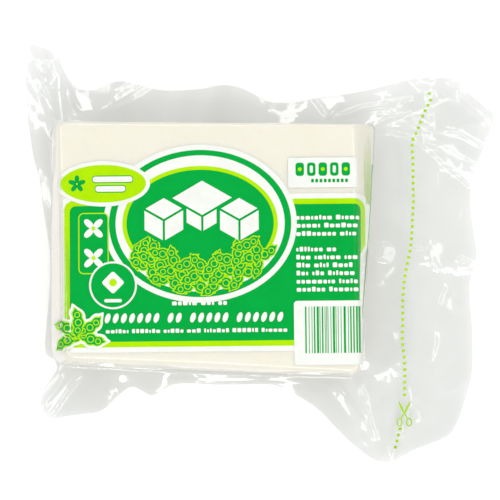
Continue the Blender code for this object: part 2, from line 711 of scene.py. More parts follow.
@dataclass
class BlockForm:
    """The block's slanted form as three level rings, clockwise from the upper left."""

    waist_height: float = 12.0
    face_corners: tuple[Point, ...] = ((-53.8, 44.2), (54.9, 43.1), (56.5, -47.7), (-51.0, -43.0))
    waist_corners: tuple[Point, ...] = ((-57.8, 46.5), (63.9, 45.3), (58.2, -49.5), (-57.5, -45.1))
    back_inset: float = 2.5
    face_radii: tuple[float, ...] = (3.5, 2.5, 3.5, 4.5)
    waist_radii: tuple[float, ...] = (5.0, 2.5, 5.0, 8.0)
    back_radii: tuple[float, ...] = (6.0, 6.0, 6.0, 8.0)
    side_points: int = 300
    corner_points: int = 60
    soft_edge: float = 1.9
    edge_change: float = 0.5
    crown: float = 0.25
    crown_power: float = 2.5
    face_height: float = field(init=False)

    def __post_init__(self) -> None:
        """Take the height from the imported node, and draw the rings."""
        self.face_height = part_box(POUCH_NODE)[1].z / MM
        back = [
            (x - math.copysign(self.back_inset, x), y - math.copysign(self.back_inset, y))
            for x, y in self.waist_corners
        ]
        self.face = self._ring(self.face_corners, self.face_radii)
        self.waist = self._ring(self.waist_corners, self.waist_radii)
        self.back = self._ring(back, self.back_radii)

    def _ring(self, corners: Sequence[Point], radii: Sequence[float]) -> np.ndarray:
        """Draw one level ring."""
        return rounded_ring(corners, radii, self.side_points, self.corner_points)

    def wall(self, place: np.ndarray, height: np.ndarray, inset: float = 0.0) -> np.ndarray:
        """Give points on the block's wall.

        Args:
            place: Places along the rings.
            height: The height of each point.
            inset: How far inside the wall the points lie.

        Returns:
            One point for each place, with its height.
        """
        face, waist, back = (
            ring_at(shrink_ring(ring, inset), place) for ring in (self.face, self.waist, self.back)
        )
        up = ((height - self.waist_height) / (self.face_height - self.waist_height))[:, None]
        down = (height / self.waist_height)[:, None]
        plan = np.where(up >= 0.0, waist + (face - waist) * up, back + (waist - back) * down)
        return np.column_stack([plan, height])

    def edge_radius(self, place: np.ndarray) -> np.ndarray:
        """Give the rounding of the face's edge, softer on the left and at the bottom.

        Args:
            place: Places along the rings.

        Returns:
            One radius for each place.
        """
        ring = self.face
        centre = ring.mean(axis=0)
        outward = ring_at(ring, place) - centre
        outward /= np.linalg.norm(outward, axis=1)[:, None]
        return self.soft_edge - self.edge_change * (outward[:, 0] + outward[:, 1])

    def face_rings(
        self, place: np.ndarray, shares: Iterable[float], inset: float = 0.0
    ) -> Rings:
        """Give rings on the slightly crowned face.

        Args:
            place: Places along the rings.
            shares: How far out each ring lies, from 0 in the middle to 1 where the edge starts.
            inset: How far inside the form they lie.

        Returns:
            The rings, in the order of their shares.
        """
        rim = self.wall(place, np.full(len(place), self.face_height), inset)
        centre = np.array([*self.face.mean(axis=0), self.face_height])
        inward = centre - rim
        inward /= np.linalg.norm(inward, axis=1)[:, None]
        shelf = rim + inward * self.edge_radius(place)[:, None]
        rings = []
        for share in shares:
            ring = centre + (shelf - centre) * share
            ring[:, 2] -= inset + self.crown * share ** self.crown_power
            rings.append(ring)
        return rings

    def edge_rings(
        self, place: np.ndarray, start: np.ndarray, count: int, inset: float = 0.0
    ) -> Rings:
        """Give rings round the face's edge, down to the wall.

        Args:
            place: Places along the rings.
            start: The face's outermost ring.
            count: How many rings to give.
            inset: How far inside the form they lie.

        Returns:
            The rings, the last of them on the wall.
        """
        rim = self.wall(place, np.full(len(place), self.face_height), inset)
        rim[:, 2] -= inset + self.crown
        low = self.face_height - inset - self.crown - self.edge_radius(place)
        below = self.wall(place, low, inset)
        return [bend(start, rim, below, t) for t in np.linspace(0.0, 1.0, count + 1)[1:]]

    def wall_rings(
        self, place: np.ndarray, high: np.ndarray, low: np.ndarray | float, count: int,
        inset: float = 0.0,
    ) -> Rings:
        """Give a count of rings down the wall, the last of them at the heights low."""
        shares = np.linspace(0.0, 1.0, count + 1)[1:]
        return [self.wall(place, high + (low - high) * t, inset) for t in shares]

    def back_rings(
        self, place: np.ndarray, foot: np.ndarray, back: BackShape, inset: float = 0.0
    ) -> Rings:
        """Give rings round the back's edge and over the back.

        Args:
            place: Places along the rings.
            foot: The ring on the wall that the back's edge starts from.
            back: How the back is shaped.
            inset: How far inside the form they lie.

        Returns:
            The rings, the last of them near the middle of the back.
        """
        middle = np.array([*self.back.mean(axis=0), back.height])
        sole = self.wall(place, np.zeros(len(place)), inset)
        sole[:, 2] = back.height
        inner = sole + (middle - sole) * back.edge_share
        rings = [bend(foot, sole, inner, share) for share in back.turns]
        rings += [middle + (inner - middle) * share for share in back.shares]
        return rings


@dataclass(frozen=True)
class Crease:
    """A fold line in the film: a ridge, or a valley where its rise is negative.

    It falls away to nothing at the reaches left and right of its path, and along the shares
    fade of its path at the start and at the end.
    """

    path: tuple[Point, ...]
    rise: float
    left: float
    right: float
    fade: tuple[float, float] = (0.3, 0.3)

    def height(self, plan: np.ndarray) -> np.ndarray:
        """Give the crease's height above the film.

        Args:
            plan: Points, one row each.

        Returns:
            One height for each point.
        """
        corners = np.array(self.path, float)
        lengths = np.linalg.norm(np.diff(corners, axis=0), axis=1)
        starts = np.concatenate([[0.0], np.cumsum(lengths)[:-1]])
        nearest = np.full(len(plan), np.inf)
        side = np.zeros(len(plan))
        along = np.zeros(len(plan))
        for corner, after, length, start in zip(corners, corners[1:], lengths, starts):
            direction = (after - corner) / length
            offset = plan - corner
            t = np.clip(offset @ direction, 0.0, length)
            away = np.linalg.norm(offset - t[:, None] * direction, axis=1)
            turn = direction[0] * offset[:, 1] - direction[1] * offset[:, 0]
            closer = away < nearest
            nearest = np.where(closer, away, nearest)
            side = np.where(closer, turn, side)
            along = np.where(closer, start + t, along)
        share = along / lengths.sum()
        reach = np.where(side > 0.0, self.left, self.right)
        body = np.clip(1.0 - nearest / reach, 0.0, 1.0)
        ends = np.ones(len(plan))
        if self.fade[0] > 0.0:
            ends *= smoothstep(0.0, self.fade[0], share)
        if self.fade[1] > 0.0:
            ends *= smoothstep(0.0, self.fade[1], 1.0 - share)
        return self.rise * body * ends


@dataclass(frozen=True)
class Wave:
    """Noise in a height: how large its grain is, how high it is, and which noise it takes.

    Where the film is loose it is higher by its loose height. With a ridge it rises to sharp
    lines at that share of its height. Without one it rolls softly.
    """

    grain: float
    height: float
    loose_height: float = 0.0
    seed: float = 0.0
    ridge: float | None = None

    def lift(self, plan: np.ndarray, seed: float, loose: np.ndarray | float = 0.0) -> np.ndarray:
        """Give the wave's height.

        Args:
            plan: Points, one row each.
            seed: What the wave's own seed adds to.
            loose: How loose the film is at each point, from 0 to 1.

        Returns:
            One height for each point.
        """
        shape = cloud(plan, self.grain, seed + self.seed)
        if self.ridge is not None:
            shape = self.ridge - np.abs(shape)
        return (self.height + self.loose_height * loose) * shape


@dataclass
class FilmPouch:
    """The sealed pouch: film tight on the block, and a welded margin with a wavy cut edge."""

    form: BlockForm
    # how finely each part of the skin is divided
    around: int = 880
    edge_steps: int = 10
    face_rows: int = 16
    edge_rows: int = 5
    wall_rows: int = 5
    fillet_rows: int = 6
    margin_rows: int = 54
    back_margin_rows: int = 12
    face_share: float = 0.96
    face_spread: float = 1.8

    # which place on the block each column comes from: its nearest one, pulled towards an even one
    nearest_share: float = 0.93
    even_share: float = 0.07
    nearest_smoothing: int = 13

    # where the film leaves the wall, and how it turns from the wall into the margin
    leave_range: tuple[float, float] = (3.2, 8.0)
    leave_slope: float = 0.09
    leave_smoothing: int = 81
    leave_wave: Wave = Wave(9.0, 0.4)
    turn_size: float = 0.9
    soft_turn: float = 1.7
    soft_left: tuple[float, float] = (30.0, 55.0)
    soft_bottom: tuple[float, float] = (25.0, 42.0)
    widest_turn: float = 0.45

    # the back ply, and the back
    ply_gap: float = 0.16
    ply_opening: float = 3.0
    under_drop: float = 0.8
    lowest_under: float = 2.2
    foot_height: float = 1.6
    back: BackShape = BackShape(0.02, 0.03, (0.35, 0.7), (1.0, 0.7, 0.4, 0.1))

    # the waves of the margin: loose film to the right, a calm strip at the top
    seed: float = 7.3
    loose_from: tuple[float, float] = (58.0, 70.0)
    waves: tuple[Wave, ...] = (
        Wave(26.0, 0.35, 0.2),
        Wave(12.0, 0.28, 0.22, 4.0, 0.35),
        Wave(4.5, 0.05, 0.0, 9.0),
    )
    facets: Wave = Wave(5.0, 1.0, 0.0, 14.0, 0.25)
    crumple_core: float = 0.3
    fold_gain: float = 1.15
    calm_strip: tuple[float, float, float] = (-28.0, 38.0, 46.0)
    calm_blend: float = 8.0
    calm_foot: tuple[float, float] = (6.0, 2.0)
    calm_share: float = 0.75
    relief_start: float = 5.0
    narrow_margin: float = 9.0
    lowest_front: float = 0.35

    # the cut edge, clockwise: x, y and height of the points that it runs through
    upper_left_ear: tuple[Spot, ...] = (
        (-67.2, 48.1, 5), (-68.3, 58.3, 6), (-67.6, 65.5, 6.5), (-66.8, 71.3, 7),
        (-65.7, 76.0, 7.5), (-60.3, 74.4, 8), (-56.2, 71.9, 7), (-54.1, 67.2, 5.5),
        (-51.6, 62.8, 4),
    )
    top_edge: tuple[Spot, ...] = (
        (-48.6, 59.9, 3), (-45.2, 59.4, 3), (-39.8, 60.2, 4), (-34.9, 62.2, 5),
        (-31.7, 62.5, 5), (-27.6, 61.6, 5), (-22.3, 60.2, 4), (-15.6, 59.3, 3.5),
        (-8.3, 59.3, 4), (-1.1, 59.9, 4), (4.6, 60.9, 5), (9.5, 60.9, 5),
        (14.1, 59.8, 4), (19.0, 57.4, 3), (23.5, 55.3, 2), (28.1, 54.8, 2),
        (33.4, 54.9, 2), (39.5, 55.9, 3), (48.9, 57.1, 4), (60.2, 58.9, 5),
        (70.8, 61.4, 6), (80.2, 63.3, 6.5),
    )
    tear_notch: Point = (85.9, 63.6)
    notch_half_width: float = 1.3
    notch_depth: float = 1.7
    notch_reach: float = 3.0
    notch_above: float = 55.0
    upper_right_ear: tuple[Spot, ...] = (
        (90.7, 63.5, 7), (94.1, 62.5, 7), (97.4, 59.8, 7), (100.4, 56.5, 7.5),
        (104.9, 52.6, 7.5), (108.3, 49.9, 7), (108.6, 47.5, 7), (105.4, 38.8, 5),
        (102.5, 30.9, 4),
    )
    right_edge: tuple[Spot, ...] = (
        (100.7, 25.2, 3), (100.0, 15.7, 3), (100.9, 6.1, 4), (102.0, -2.2, 4.5),
        (101.4, -7.1, 4), (99.8, -13.0, 3), (99.6, -20.2, 2.5), (100.1, -27.7, 3),
        (100.4, -39.0, 3.5), (99.9, -48.7, 3), (97.7, -57.2, 2), (95.3, -64.3, 1.5),
    )
    lower_right_ear: tuple[Spot, ...] = (
        (92.2, -70.1, 1), (88.0, -72.7, 1), (78.2, -76.5, 1.5), (70.0, -80.6, 2),
        (67.3, -81.1, 2), (62.8, -79.8, 1.5), (54.7, -73.8, 1), (48.3, -67.5, 1.2),
        (42.6, -61.5, 1.2), (35.5, -56.6, 1.2),
    )
    bottom_edge: tuple[Spot, ...] = (
        (31.0, -54.0, 1), (26.1, -52.1, 1), (7.3, -52.0, 1), (-12.7, -52.0, 1),
        (-17.6, -55.0, 1.2), (-20.6, -55.9, 1.2), (-23.6, -54.6, 1.2), (-26.6, -52.9, 1.2),
        (-28.9, -53.1, 1.2), (-32.2, -55.5, 1), (-37.8, -60.9, 2),
    )
    lower_left_ear: tuple[Spot, ...] = (
        (-41.2, -62.4, 2), (-47.1, -63.1, 2.5), (-53.4, -64.0, 3), (-57.5, -64.7, 3),
        (-60.1, -62.9, 3), (-61.8, -59.2, 2.5), (-61.1, -55.4, 2.5), (-59.1, -51.4, 3),
        (-56.9, -48.6, 3.5),
    )
    left_edge: tuple[Spot, ...] = (
        (-55.6, -45.6, 4), (-56.8, -42.6, 4), (-58.9, -41.4, 3), (-60.1, -40.1, 2),
        (-60.6, -37.1, 1.5), (-59.9, -27.7, 1.2), (-59.0, -13.9, 1), (-59.0, -2.7, 1.2),
        (-60.1, 5.6, 1.5), (-61.4, 13.6, 2), (-63.1, 26.0, 3), (-65.0, 33.5, 4),
    )

    # folds of the margin and of the face, and round spots of crumpled film: x, y, reach, height
    creases: tuple[Crease, ...] = (
        # upper left ear
        Crease(((-55.7, 68.3), (-62.5, 68.9)), 0.5, 1.5, 1.5, (0.2, 0.2)),
        Crease(((-55.7, 68.3), (-59.6, 64.6), (-62.2, 61.4)), 0.8, 1.6, 2.5, (0.1, 0.3)),
        Crease(((-55.7, 68.3), (-57.3, 64.3), (-59.4, 61.1)), -0.5, 1.5, 1.5, (0.1, 0.3)),
        Crease(((-65.2, 70.3), (-63.3, 66.9), (-61.8, 62.7)), 1, 2.5, 3.5, (0.2, 0.35)),
        Crease(((-60.9, 57.7), (-57.5, 60.5)), 0.45, 1.1, 1.1),
        Crease(((-59.4, 57.1), (-57.9, 57.7)), 0.5, 1, 1, (0.4, 0.4)),
        Crease(((-61.2, 56.7), (-57.7, 48.9), (-56.4, 46.2)), 0.55, 1.2, 2, (0.1, 0.3)),
        Crease(
            ((-53.8, 67), (-52.5, 60.5), (-50, 55.5), (-46.6, 49.2)), 0.5, 1.2, 1.6, (0.2, 0.3)
        ),
        # top strip
        Crease(((-21.9, 61.4), (-30.5, 55.9), (-43.1, 49.9)), 0.95, 2.4, 4.8, (0, 0.5)),
        Crease(((41.9, 56.5), (44.9, 52.3), (48, 48.7)), 1, 8, 2.6, (0, 0.3)),
        Crease(
            ((47.9, 48.5), (54.4, 50.1), (58, 51.6), (66.3, 52.6), (74.6, 54.7), (81.4, 56)),
            0.6, 1.5, 0.9, (0.05, 0.2),
        ),
        # upper right ear
        Crease(((75.8, 62.3), (80.3, 58), (85.2, 57.6)), 1.2, 3.6, 6, (0, 0.25)),
        Crease(
            ((86.3, 55), (93.4, 53.9), (96, 53.5), (96.7, 54.2), (95.3, 56.7), (91.7, 58.8)),
            0.35, 0.9, 0.9, (0.2, 0.2),
        ),
        Crease(((92.3, 60.8), (95.3, 58.4), (97.7, 54.2), (107, 45.9)), 0.5, 1.2, 2.2, (0, 0.1)),
        Crease(((85.9, 58.8), (86.7, 55.6)), 0.4, 0.8, 0.8),
        Crease(((89.4, 58.4), (89.5, 55.8)), 0.35, 0.8, 0.8),
        Crease(((65.9, 47.5), (71.9, 48.8), (76.2, 49.1)), 0.5, 1, 1.6, (0.2, 0.3)),
        Crease(
            ((76.9, 52), (76.7, 49), (78, 47.1), (79.9, 46.7), (81.6, 48.6), (80.9, 52.3)),
            0.5, 0.9, 0.9, (0.2, 0.2),
        ),
        Crease(((83.6, 52.7), (84, 49.3), (82.8, 45.9)), 0.8, 2, 2),
        Crease(
            ((65.9, 47), (70.9, 43.3), (76.2, 41.9), (79.1, 40.4), (82.6, 37.9), (99.3, 23.6)),
            1.0, 5, 1.3, (0.15, 0),
        ),
        Crease(((83.2, 39.4), (88, 37.9), (102.5, 29.8)), 0.7, 1.5, 4, (0.2, 0)),
        Crease(((87.7, 44.4), (95.2, 43.3), (104.5, 38)), 0.6, 1.4, 2.2, (0.25, 0.1)),
        Crease(((104.5, 41.4), (105.6, 39.9)), 0.4, 0.8, 0.8, (0.4, 0.4)),
        Crease(((80.6, 41.4), (83.2, 43.7), (86.2, 44.4)), 0.5, 0.9, 0.9),
        Crease(((81.3, 39.5), (84.7, 42.9)), 0.4, 0.8, 0.8),
        # right middle
        Crease(((67.4, 2.2), (64.6, -6.8)), 1.05, 5.2, 1),
        Crease(((84.8, 2.8), (82.4, -5.8)), 0.8, 6, 1),
        Crease(((59.3, -6.6), (66.3, -2.9), (71.7, -1.4)), 0.2, 1, 1.6, (0.1, 0.3)),
        Crease(((61.6, -8.5), (67.2, -10.7), (71.7, -6.2)), 0.4, 1.5, 1.5),
        Crease(((62.3, -13), (67.3, -14.5)), 0.4, 0.9, 0.9),
        Crease(((77.3, 0.1), (81, -1.4), (83.3, -4.7)), 0.5, 0.9, 1.2),
        Crease(((83.3, -5.1), (86.2, -7), (88.1, -9.6)), 0.9, 2, 1.5, (0.25, 0.25)),
        Crease(
            ((92.6, -4.7), (97.1, -5.1), (99.3, -6.2), (97.4, -9.2)), 0.7, 1.2, 1.5, (0.2, 0.2)
        ),
        Crease(((90.3, -14.5), (89.3, -16.2), (86.5, -22.3)), 0.7, 1.2, 1.5, (0.2, 0.25)),
        Crease(((86.1, -31.6), (85.9, -36.5), (83.7, -45.4)), 0.45, 1.5, 2.5),
        # lower right
        Crease(((58.3, -31.9), (73.7, -34.2)), 0.25, 3, 4, (0.1, 0.3)),
        Crease(((59, -50.8), (74, -43.1)), 0.35, 6, 5, (0.1, 0.3)),
        Crease(
            ((58.6, -50.8), (60.1, -59.6), (62.3, -68.4), (64.9, -72.6)), 0.7, 1, 2, (0.15, 0.1)
        ),
        Crease(((46.5, -49.7), (51.9, -56.2), (61.9, -68.5)), 0.6, 1.5, 3, (0.2, 0.2)),
        Crease(((73.5, -65.9), (70.5, -72.6), (67.5, -80.8)), 0.8, 1.6, 1.2, (0.15, 0)),
        Crease(((79, -61.1), (80.1, -65.5)), 0.5, 0.9, 0.9),
        Crease(((75.5, -50.2), (76.6, -57.7), (73.5, -66.6)), 0.45, 1, 2, (0.3, 0.2)),
        # bottom strip and lower left ear
        Crease(((-2, -50.6), (20.4, -50.2), (43.7, -50.6)), 0.45, 0.9, 1.2),
        Crease(((-45.6, -46.5), (-52.3, -54.7), (-57.8, -62.9)), 1, 1.6, 4, (0.1, 0)),
        Crease(((-38.5, -54), (-33, -56.5)), 0.35, 1.4, 2.4),
        Crease(((-50.1, -45.7), (-55.3, -53.2), (-60.1, -58.8)), 0.6, 1.2, 2, (0.1, 0)),
        Crease(((-53.1, -45.7), (-57.5, -50.2), (-60.9, -54)), 0.5, 1, 1.5, (0.1, 0)),
    )

    face_wrinkles: tuple[Crease, ...] = (
        # the face's upper left corner
        Crease(((-50.6, 41.6), (-47.5, 40.4), (-46.2, 42.0)), 0.22, 0.8, 0.8),
        Crease(((-52.5, 40.2), (-49.0, 38.2), (-46.4, 38.6)), 0.25, 0.9, 0.9),
        Crease(((-51.2, 38.4), (-49.6, 34.0), (-50.0, 29.5)), 0.2, 1.0, 1.0),
        Crease(((-44.0, 42.6), (-39.0, 41.2)), 0.15, 1.0, 1.0),
    )
    crumples: tuple[tuple[float, float, float, float], ...] = (
        (81.0, 46.0, 12.0, 0.8), (91.0, 34.0, 10.0, 0.3), (70.0, 52.0, 9.0, 0.5),
        (66.0, -8.0, 10.0, 0.15), (84.0, -5.0, 9.0, 0.3), (95.0, -8.0, 7.0, 0.9),
        (90.0, -20.0, 7.0, 0.6), (-59.0, 61.0, 8.0, 0.3), (78.0, -62.0, 8.0, 0.5),
        (62.0, -72.0, 8.0, 0.5),
    )

    def edge_points(self) -> np.ndarray:
        """Give the points that the cut edge runs through.

        Returns:
            One row of x, y and height for each, clockwise from the left edge's lower end.
        """
        stretches = (
            self.left_edge, self.upper_left_ear, self.top_edge, self.upper_right_ear,
            self.right_edge, self.lower_right_ear, self.bottom_edge, self.lower_left_ear,
        )
        return np.array([spot for stretch in stretches for spot in stretch], float)

    def lay_out(self) -> None:
        """Find the cut edge, and where on the block's rings each column of film comes from."""
        self.edge = even_loop(smooth_loop(self.edge_points(), self.edge_steps), self.around)
        waist = self.form.waist
        nearest = np.array(
            [np.argmin(np.sum((waist - spot[:2]) ** 2, axis=1)) for spot in self.edge], float
        )
        count = len(waist)
        turns = np.maximum.accumulate(np.unwrap(nearest, period=count))
        turns = around_ring(turns, self.nearest_smoothing, count)
        even = turns[0] + np.arange(self.around) * count / self.around
        self.place = self.nearest_share * turns + self.even_share * even

    def leave(self) -> np.ndarray:
        """Give the height at which the film leaves the wall.

        Returns:
            One height for each column.
        """
        waist = ring_at(self.form.waist, self.place)
        reach = np.linalg.norm(self.edge[:, :2] - waist[:, :2], axis=1)
        low, high = self.leave_range
        height = np.clip(self.edge[:, 2] + self.leave_slope * reach, low, high)
        wave = self.leave_wave.lift(waist, self.seed)
        return around_ring(height, self.leave_smoothing) + wave

    def calm(self, plan: np.ndarray) -> np.ndarray:
        """Give how calm the film is: flat and even over most of the top strip.

        Args:
            plan: Points, one row each.

        Returns:
            One share for each point, from 0 to 1.
        """
        left, right, low = self.calm_strip
        blend = self.calm_blend
        calm = smoothstep(left - blend, left + blend, plan[:, 0])
        calm *= 1.0 - smoothstep(right - blend, right + blend, plan[:, 0])
        calm *= smoothstep(low - self.calm_foot[0], low + self.calm_foot[1], plan[:, 1])
        return calm

    def relief(self, plan: np.ndarray) -> np.ndarray:
        """Give the film's folds and waves above its even slope.

        Args:
            plan: Points, one row each.

        Returns:
            One height for each point.
        """
        loose = smoothstep(*self.loose_from, plan[:, 0])
        waves = sum(wave.lift(plan, self.seed, loose) for wave in self.waves)
        folds = sum(crease.height(plan) for crease in self.creases)
        facets = self.facets.lift(plan, self.seed)
        for x, y, reach, height in self.crumples:
            away = np.hypot(plan[:, 0] - x, plan[:, 1] - y)
            spread = 1.0 - smoothstep(self.crumple_core * reach, reach, away)
            folds = folds + height * spread * facets
        return waves * (1.0 - self.calm_share * self.calm(plan)) + self.fold_gain * folds

    def turn(self, root: np.ndarray) -> np.ndarray:
        """Give how far the film rounds the turn from the wall into the margin.

        Args:
            root: Where wall and margin would meet in a sharp line.

        Returns:
            One distance for each column, larger on the left and at the bottom.
        """
        reach = np.linalg.norm(self.edge[:, :2] - root[:, :2], axis=1)
        soft = np.maximum(
            smoothstep(*self.soft_left, -root[:, 0]), smoothstep(*self.soft_bottom, -root[:, 1])
        )
        return np.minimum(self.turn_size + self.soft_turn * soft, self.widest_turn * reach)

    def face_and_edge(self) -> Rings:
        """Give the rings over the face and round its edge.

        Returns:
            The rings, from the middle of the face to the top of the wall.
        """
        shares = [
            1.0 - self.face_share * (1.0 - t) ** self.face_spread
            for t in np.linspace(0.0, 1.0, self.face_rows)
        ]
        rings = self.form.face_rings(self.place, shares)
        for ring in rings:
            ring[:, 2] += sum(wrinkle.height(ring[:, :2]) for wrinkle in self.face_wrinkles)
        return rings + self.form.edge_rings(self.place, rings[-1], self.edge_rows)

    def margin(self, start: np.ndarray) -> Rings:
        """Give the rings of the front ply from the block to the cut edge.

        Args:
            start: The ring that the margin starts from.

        Returns:
            Rings, the last of them on the cut edge.
        """
        edge = self.edge
        reach = np.linalg.norm(edge[:, :2] - start[:, :2], axis=1)
        rings = []
        for t in np.linspace(0.0, 1.0, self.margin_rows + 1)[1:]:
            ring = start + (edge - start) * t
            weight = smoothstep(0.0, self.relief_start, reach * t)
            weight *= np.minimum(1.0, reach / self.narrow_margin)
            ring[:, 2] += weight * self.relief(ring[:, :2])
            ring[:, 2] = np.maximum(ring[:, 2], self.lowest_front)
            self.cut_notch(ring)
            rings.append(ring)
        return rings

    def cut_notch(self, ring: np.ndarray) -> None:
        """Pull a ring in at the small tear notch.

        Args:
            ring: The ring, which is changed.
        """
        across = 1.0 - np.abs(ring[:, 0] - self.tear_notch[0]) / self.notch_half_width
        inside = 1.0 - (self.tear_notch[1] - ring[:, 1]) / self.notch_reach
        pull = np.clip(across, 0.0, 1.0) * np.clip(inside, 0.0, 1.0)
        ring[:, 1] -= self.notch_depth * (pull * (ring[:, 1] > self.notch_above))

    def back_ply(self, front: Rings) -> Rings:
        """Give the rings of the back ply, a small gap under the front ply.

        Args:
            front: The rings of the front ply, from the block to the cut edge.

        Returns:
            Rings from the cut edge to the block.
        """
        last = len(front) - 1
        rings = []
        for pick in np.linspace(last, 0, self.back_margin_rows + 1)[1:]:
            ring = front[int(round(pick))].copy()
            ring[:, 2] -= self.ply_gap * min(1.0, (last - pick) / self.ply_opening)
            rings.append(ring)
        return rings

    def rows(self) -> Rings:
        """Give the skin's rings of points.

        Returns:
            The rings, from the middle of the face to the middle of the back.
        """
        self.lay_out()
        form, place = self.form, self.place
        rows = self.face_and_edge()
        leave = self.leave()
        root = form.wall(place, leave)
        turn = self.turn(root)
        rows += form.wall_rings(place, rows[-1][:, 2], leave + turn, self.wall_rows)
        above = form.wall(place, leave + turn)
        reach = np.linalg.norm(self.edge[:, :2] - root[:, :2], axis=1)
        start = root + (self.edge - root) * (turn / reach)[:, None]
        fillet = np.linspace(0.0, 1.0, self.fillet_rows + 1)[1:]
        rows += [bend(above, root, start, t) for t in fillet]
        front = self.margin(start)
        rows += front
        rows += self.back_ply(front)
        under = form.wall(place, np.maximum(leave - self.under_drop, self.lowest_under))
        foot = form.wall(place, np.full(self.around, self.foot_height))
        rows += [0.5 * rows[-1] + 0.5 * under, under, 0.5 * (under + foot), foot]
        rows += form.back_rings(place, foot, self.back)
        for ring in rows:
            ring[:, 2] = np.maximum(ring[:, 2], self.back.height)
        return rows

    def build(self) -> Piece:
        """Model the pouch's film as one closed skin.

        Returns:
            The skin.
        """
        skin = skin_from_rows("pouch_film", self.rows())
        skin.data.shade_smooth()
        skin.data.set_sharp_from_angle(angle=math.radians(60.0))
        return skin

    def dress(self, skin: Piece, groups: SharedGroups) -> None:
        """Give the film its finish."""
        skin.data.materials.append(FilmFinish().material(groups))


@dataclass
class TofuBlock:
    """The block inside the film, a hair smaller than the room it has."""

    form: BlockForm
    around: int = 300
    clearance: float = 0.12
    inmost_share: float = 0.04
    face_rows: int = 8
    edge_rows: int = 5
    wall_rows: int = 6
    foot_height: float = 2.2
    back: BackShape = BackShape(0.16, 0.04, (0.25, 0.5, 0.75), (1.0, 0.6, 0.2))

    def rows(self) -> Rings:
        """Give the block's rings of points.

        Returns:
            The rings, from the middle of the face to the middle of the back.
        """
        form, inset = self.form, self.clearance
        place = np.linspace(0.0, len(form.face), self.around, endpoint=False)
        shares = np.linspace(self.inmost_share, 1.0, self.face_rows)
        rows = form.face_rings(place, shares, inset)
        rows += form.edge_rings(place, rows[-1], self.edge_rows, inset)
        rows += form.wall_rings(place, rows[-1][:, 2], self.foot_height, self.wall_rows, inset)
        rows += form.back_rings(place, rows[-1], self.back, inset)
        return rows

    def build(self) -> Piece:
        """Model the block.

        Returns:
            The block.
        """
        block = skin_from_rows("tofu_block", self.rows())
        block.data.shade_smooth()
        return block

    def dress(self, block: Piece, groups: SharedGroups) -> None:
        """Give the block its finish."""
        block.data.materials.append(TofuFinish().material(groups))


# ---- Print ----


@dataclass
class PrintPress:
    """Cuts flat shapes fine enough to bend, and lays them on the film as thin layers of ink."""

    film: Piece
    turn: float = math.radians(0.55)
    coarse: float = 3.0
    fine: float = 0.5
    fine_from: float = 51.0
    cut_tolerance: float = 1e-7
    drop_height: float = 0.1

    def __post_init__(self) -> None:
        """Make the search tree of the film's surface."""
        mesh = bmesh.new()
        mesh.from_mesh(self.film.data)
        self.tree = BVHTree.FromBMesh(mesh)
        mesh.free()

    def lines(self, low: float, high: float, across: bool) -> list[float]:
        """Give the places to cut a shape at, between two ends.

        Args:
            low: The lower end.
            high: The upper end.
            across: Whether the places run along X, where the cuts are finer past the face.

        Returns:
            Places in millimetres.
        """
        places = []
        at = math.floor(low / self.coarse) * self.coarse
        while at < high:
            if at > low:
                places.append(at)
            at += self.fine if across and at >= self.fine_from else self.coarse
        return places

    def cut(self, flat: Piece) -> None:
        """Cut a flat piece along a lattice, so that it can bend over edges.

        Args:
            flat: The piece, whose faces are turned upwards too.
        """
        mesh = bmesh.new()
        mesh.from_mesh(flat.data)
        xs = [vertex.co.x / MM for vertex in mesh.verts]
        ys = [vertex.co.y / MM for vertex in mesh.verts]
        for axis, places in (
            (0, self.lines(min(xs), max(xs), True)),
            (1, self.lines(min(ys), max(ys), False)),
        ):
            for place in places:
                normal = Vector((0.0, 0.0, 0.0))
                normal[axis] = 1.0
                bmesh.ops.bisect_plane(
                    mesh, geom=[*mesh.verts, *mesh.edges, *mesh.faces], dist=self.cut_tolerance,
                    plane_co=normal * (place * MM), plane_no=normal,
                )
        for face in mesh.faces:
            if face.normal.z < 0.0:
                face.normal_flip()
        mesh.to_mesh(flat.data)
        mesh.free()

    def lay(self, flat: Piece, lift: float, turned: bool = True) -> Piece:
        """Turn a flat piece with the label and lay it on the film.

        Args:
            flat: The piece, at height 0.
            lift: Its height above the film, in millimetres.
            turned: Whether the piece turns with the label.

        Returns:
            The same piece, laid.
        """
        if turned:
            flat.data.transform(Matrix.Rotation(self.turn, 4, "Z"))
        self.cut(flat)
        down = Vector((0.0, 0.0, -1.0))
        for vertex in flat.data.vertices:
            start = Vector((vertex.co.x, vertex.co.y, self.drop_height))
            hit, normal, _, _ = self.tree.ray_cast(start, down)
            if hit is None:
                raise RuntimeError(f"{flat.name} reaches past the film at {vertex.co}")
            vertex.co = hit + normal * (lift * MM + vertex.co.z)
        flat.data.shade_smooth()
        flat.data.update()
        return flat


class Stencils:
    """Flat shapes made once each. Every copy gets its own mesh."""

    def __init__(self) -> None:
        """Start without any shape."""
        self.masters: dict[tuple, Piece] = {}

    def copy(self, key: tuple, make: Callable[[], Piece]) -> Piece:
        """Copy a shape, and make it first where it is new.

        Args:
            key: The shape's kind and sizes.
            make: What makes the shape.

        Returns:
            The copy.
        """
        if key not in self.masters:
            master = make()
            bpy.context.scene.collection.objects.unlink(master)
            self.masters[key] = master
        piece = self.masters[key].copy()
        piece.data = self.masters[key].data.copy()
        bpy.context.scene.collection.objects.link(piece)
        return piece

    def clear(self) -> None:
        """Throw every master away."""
        for master in self.masters.values():
            mesh = master.data
            bpy.data.objects.remove(master)
            bpy.data.meshes.remove(mesh)
        self.masters.clear()


STENCILS = Stencils()
WIDEST_ROUNDING = 0.49
SMALL_CORNER = 1.5
SMALL_CORNER_STEPS = 3
LARGE_CORNER_STEPS = 8


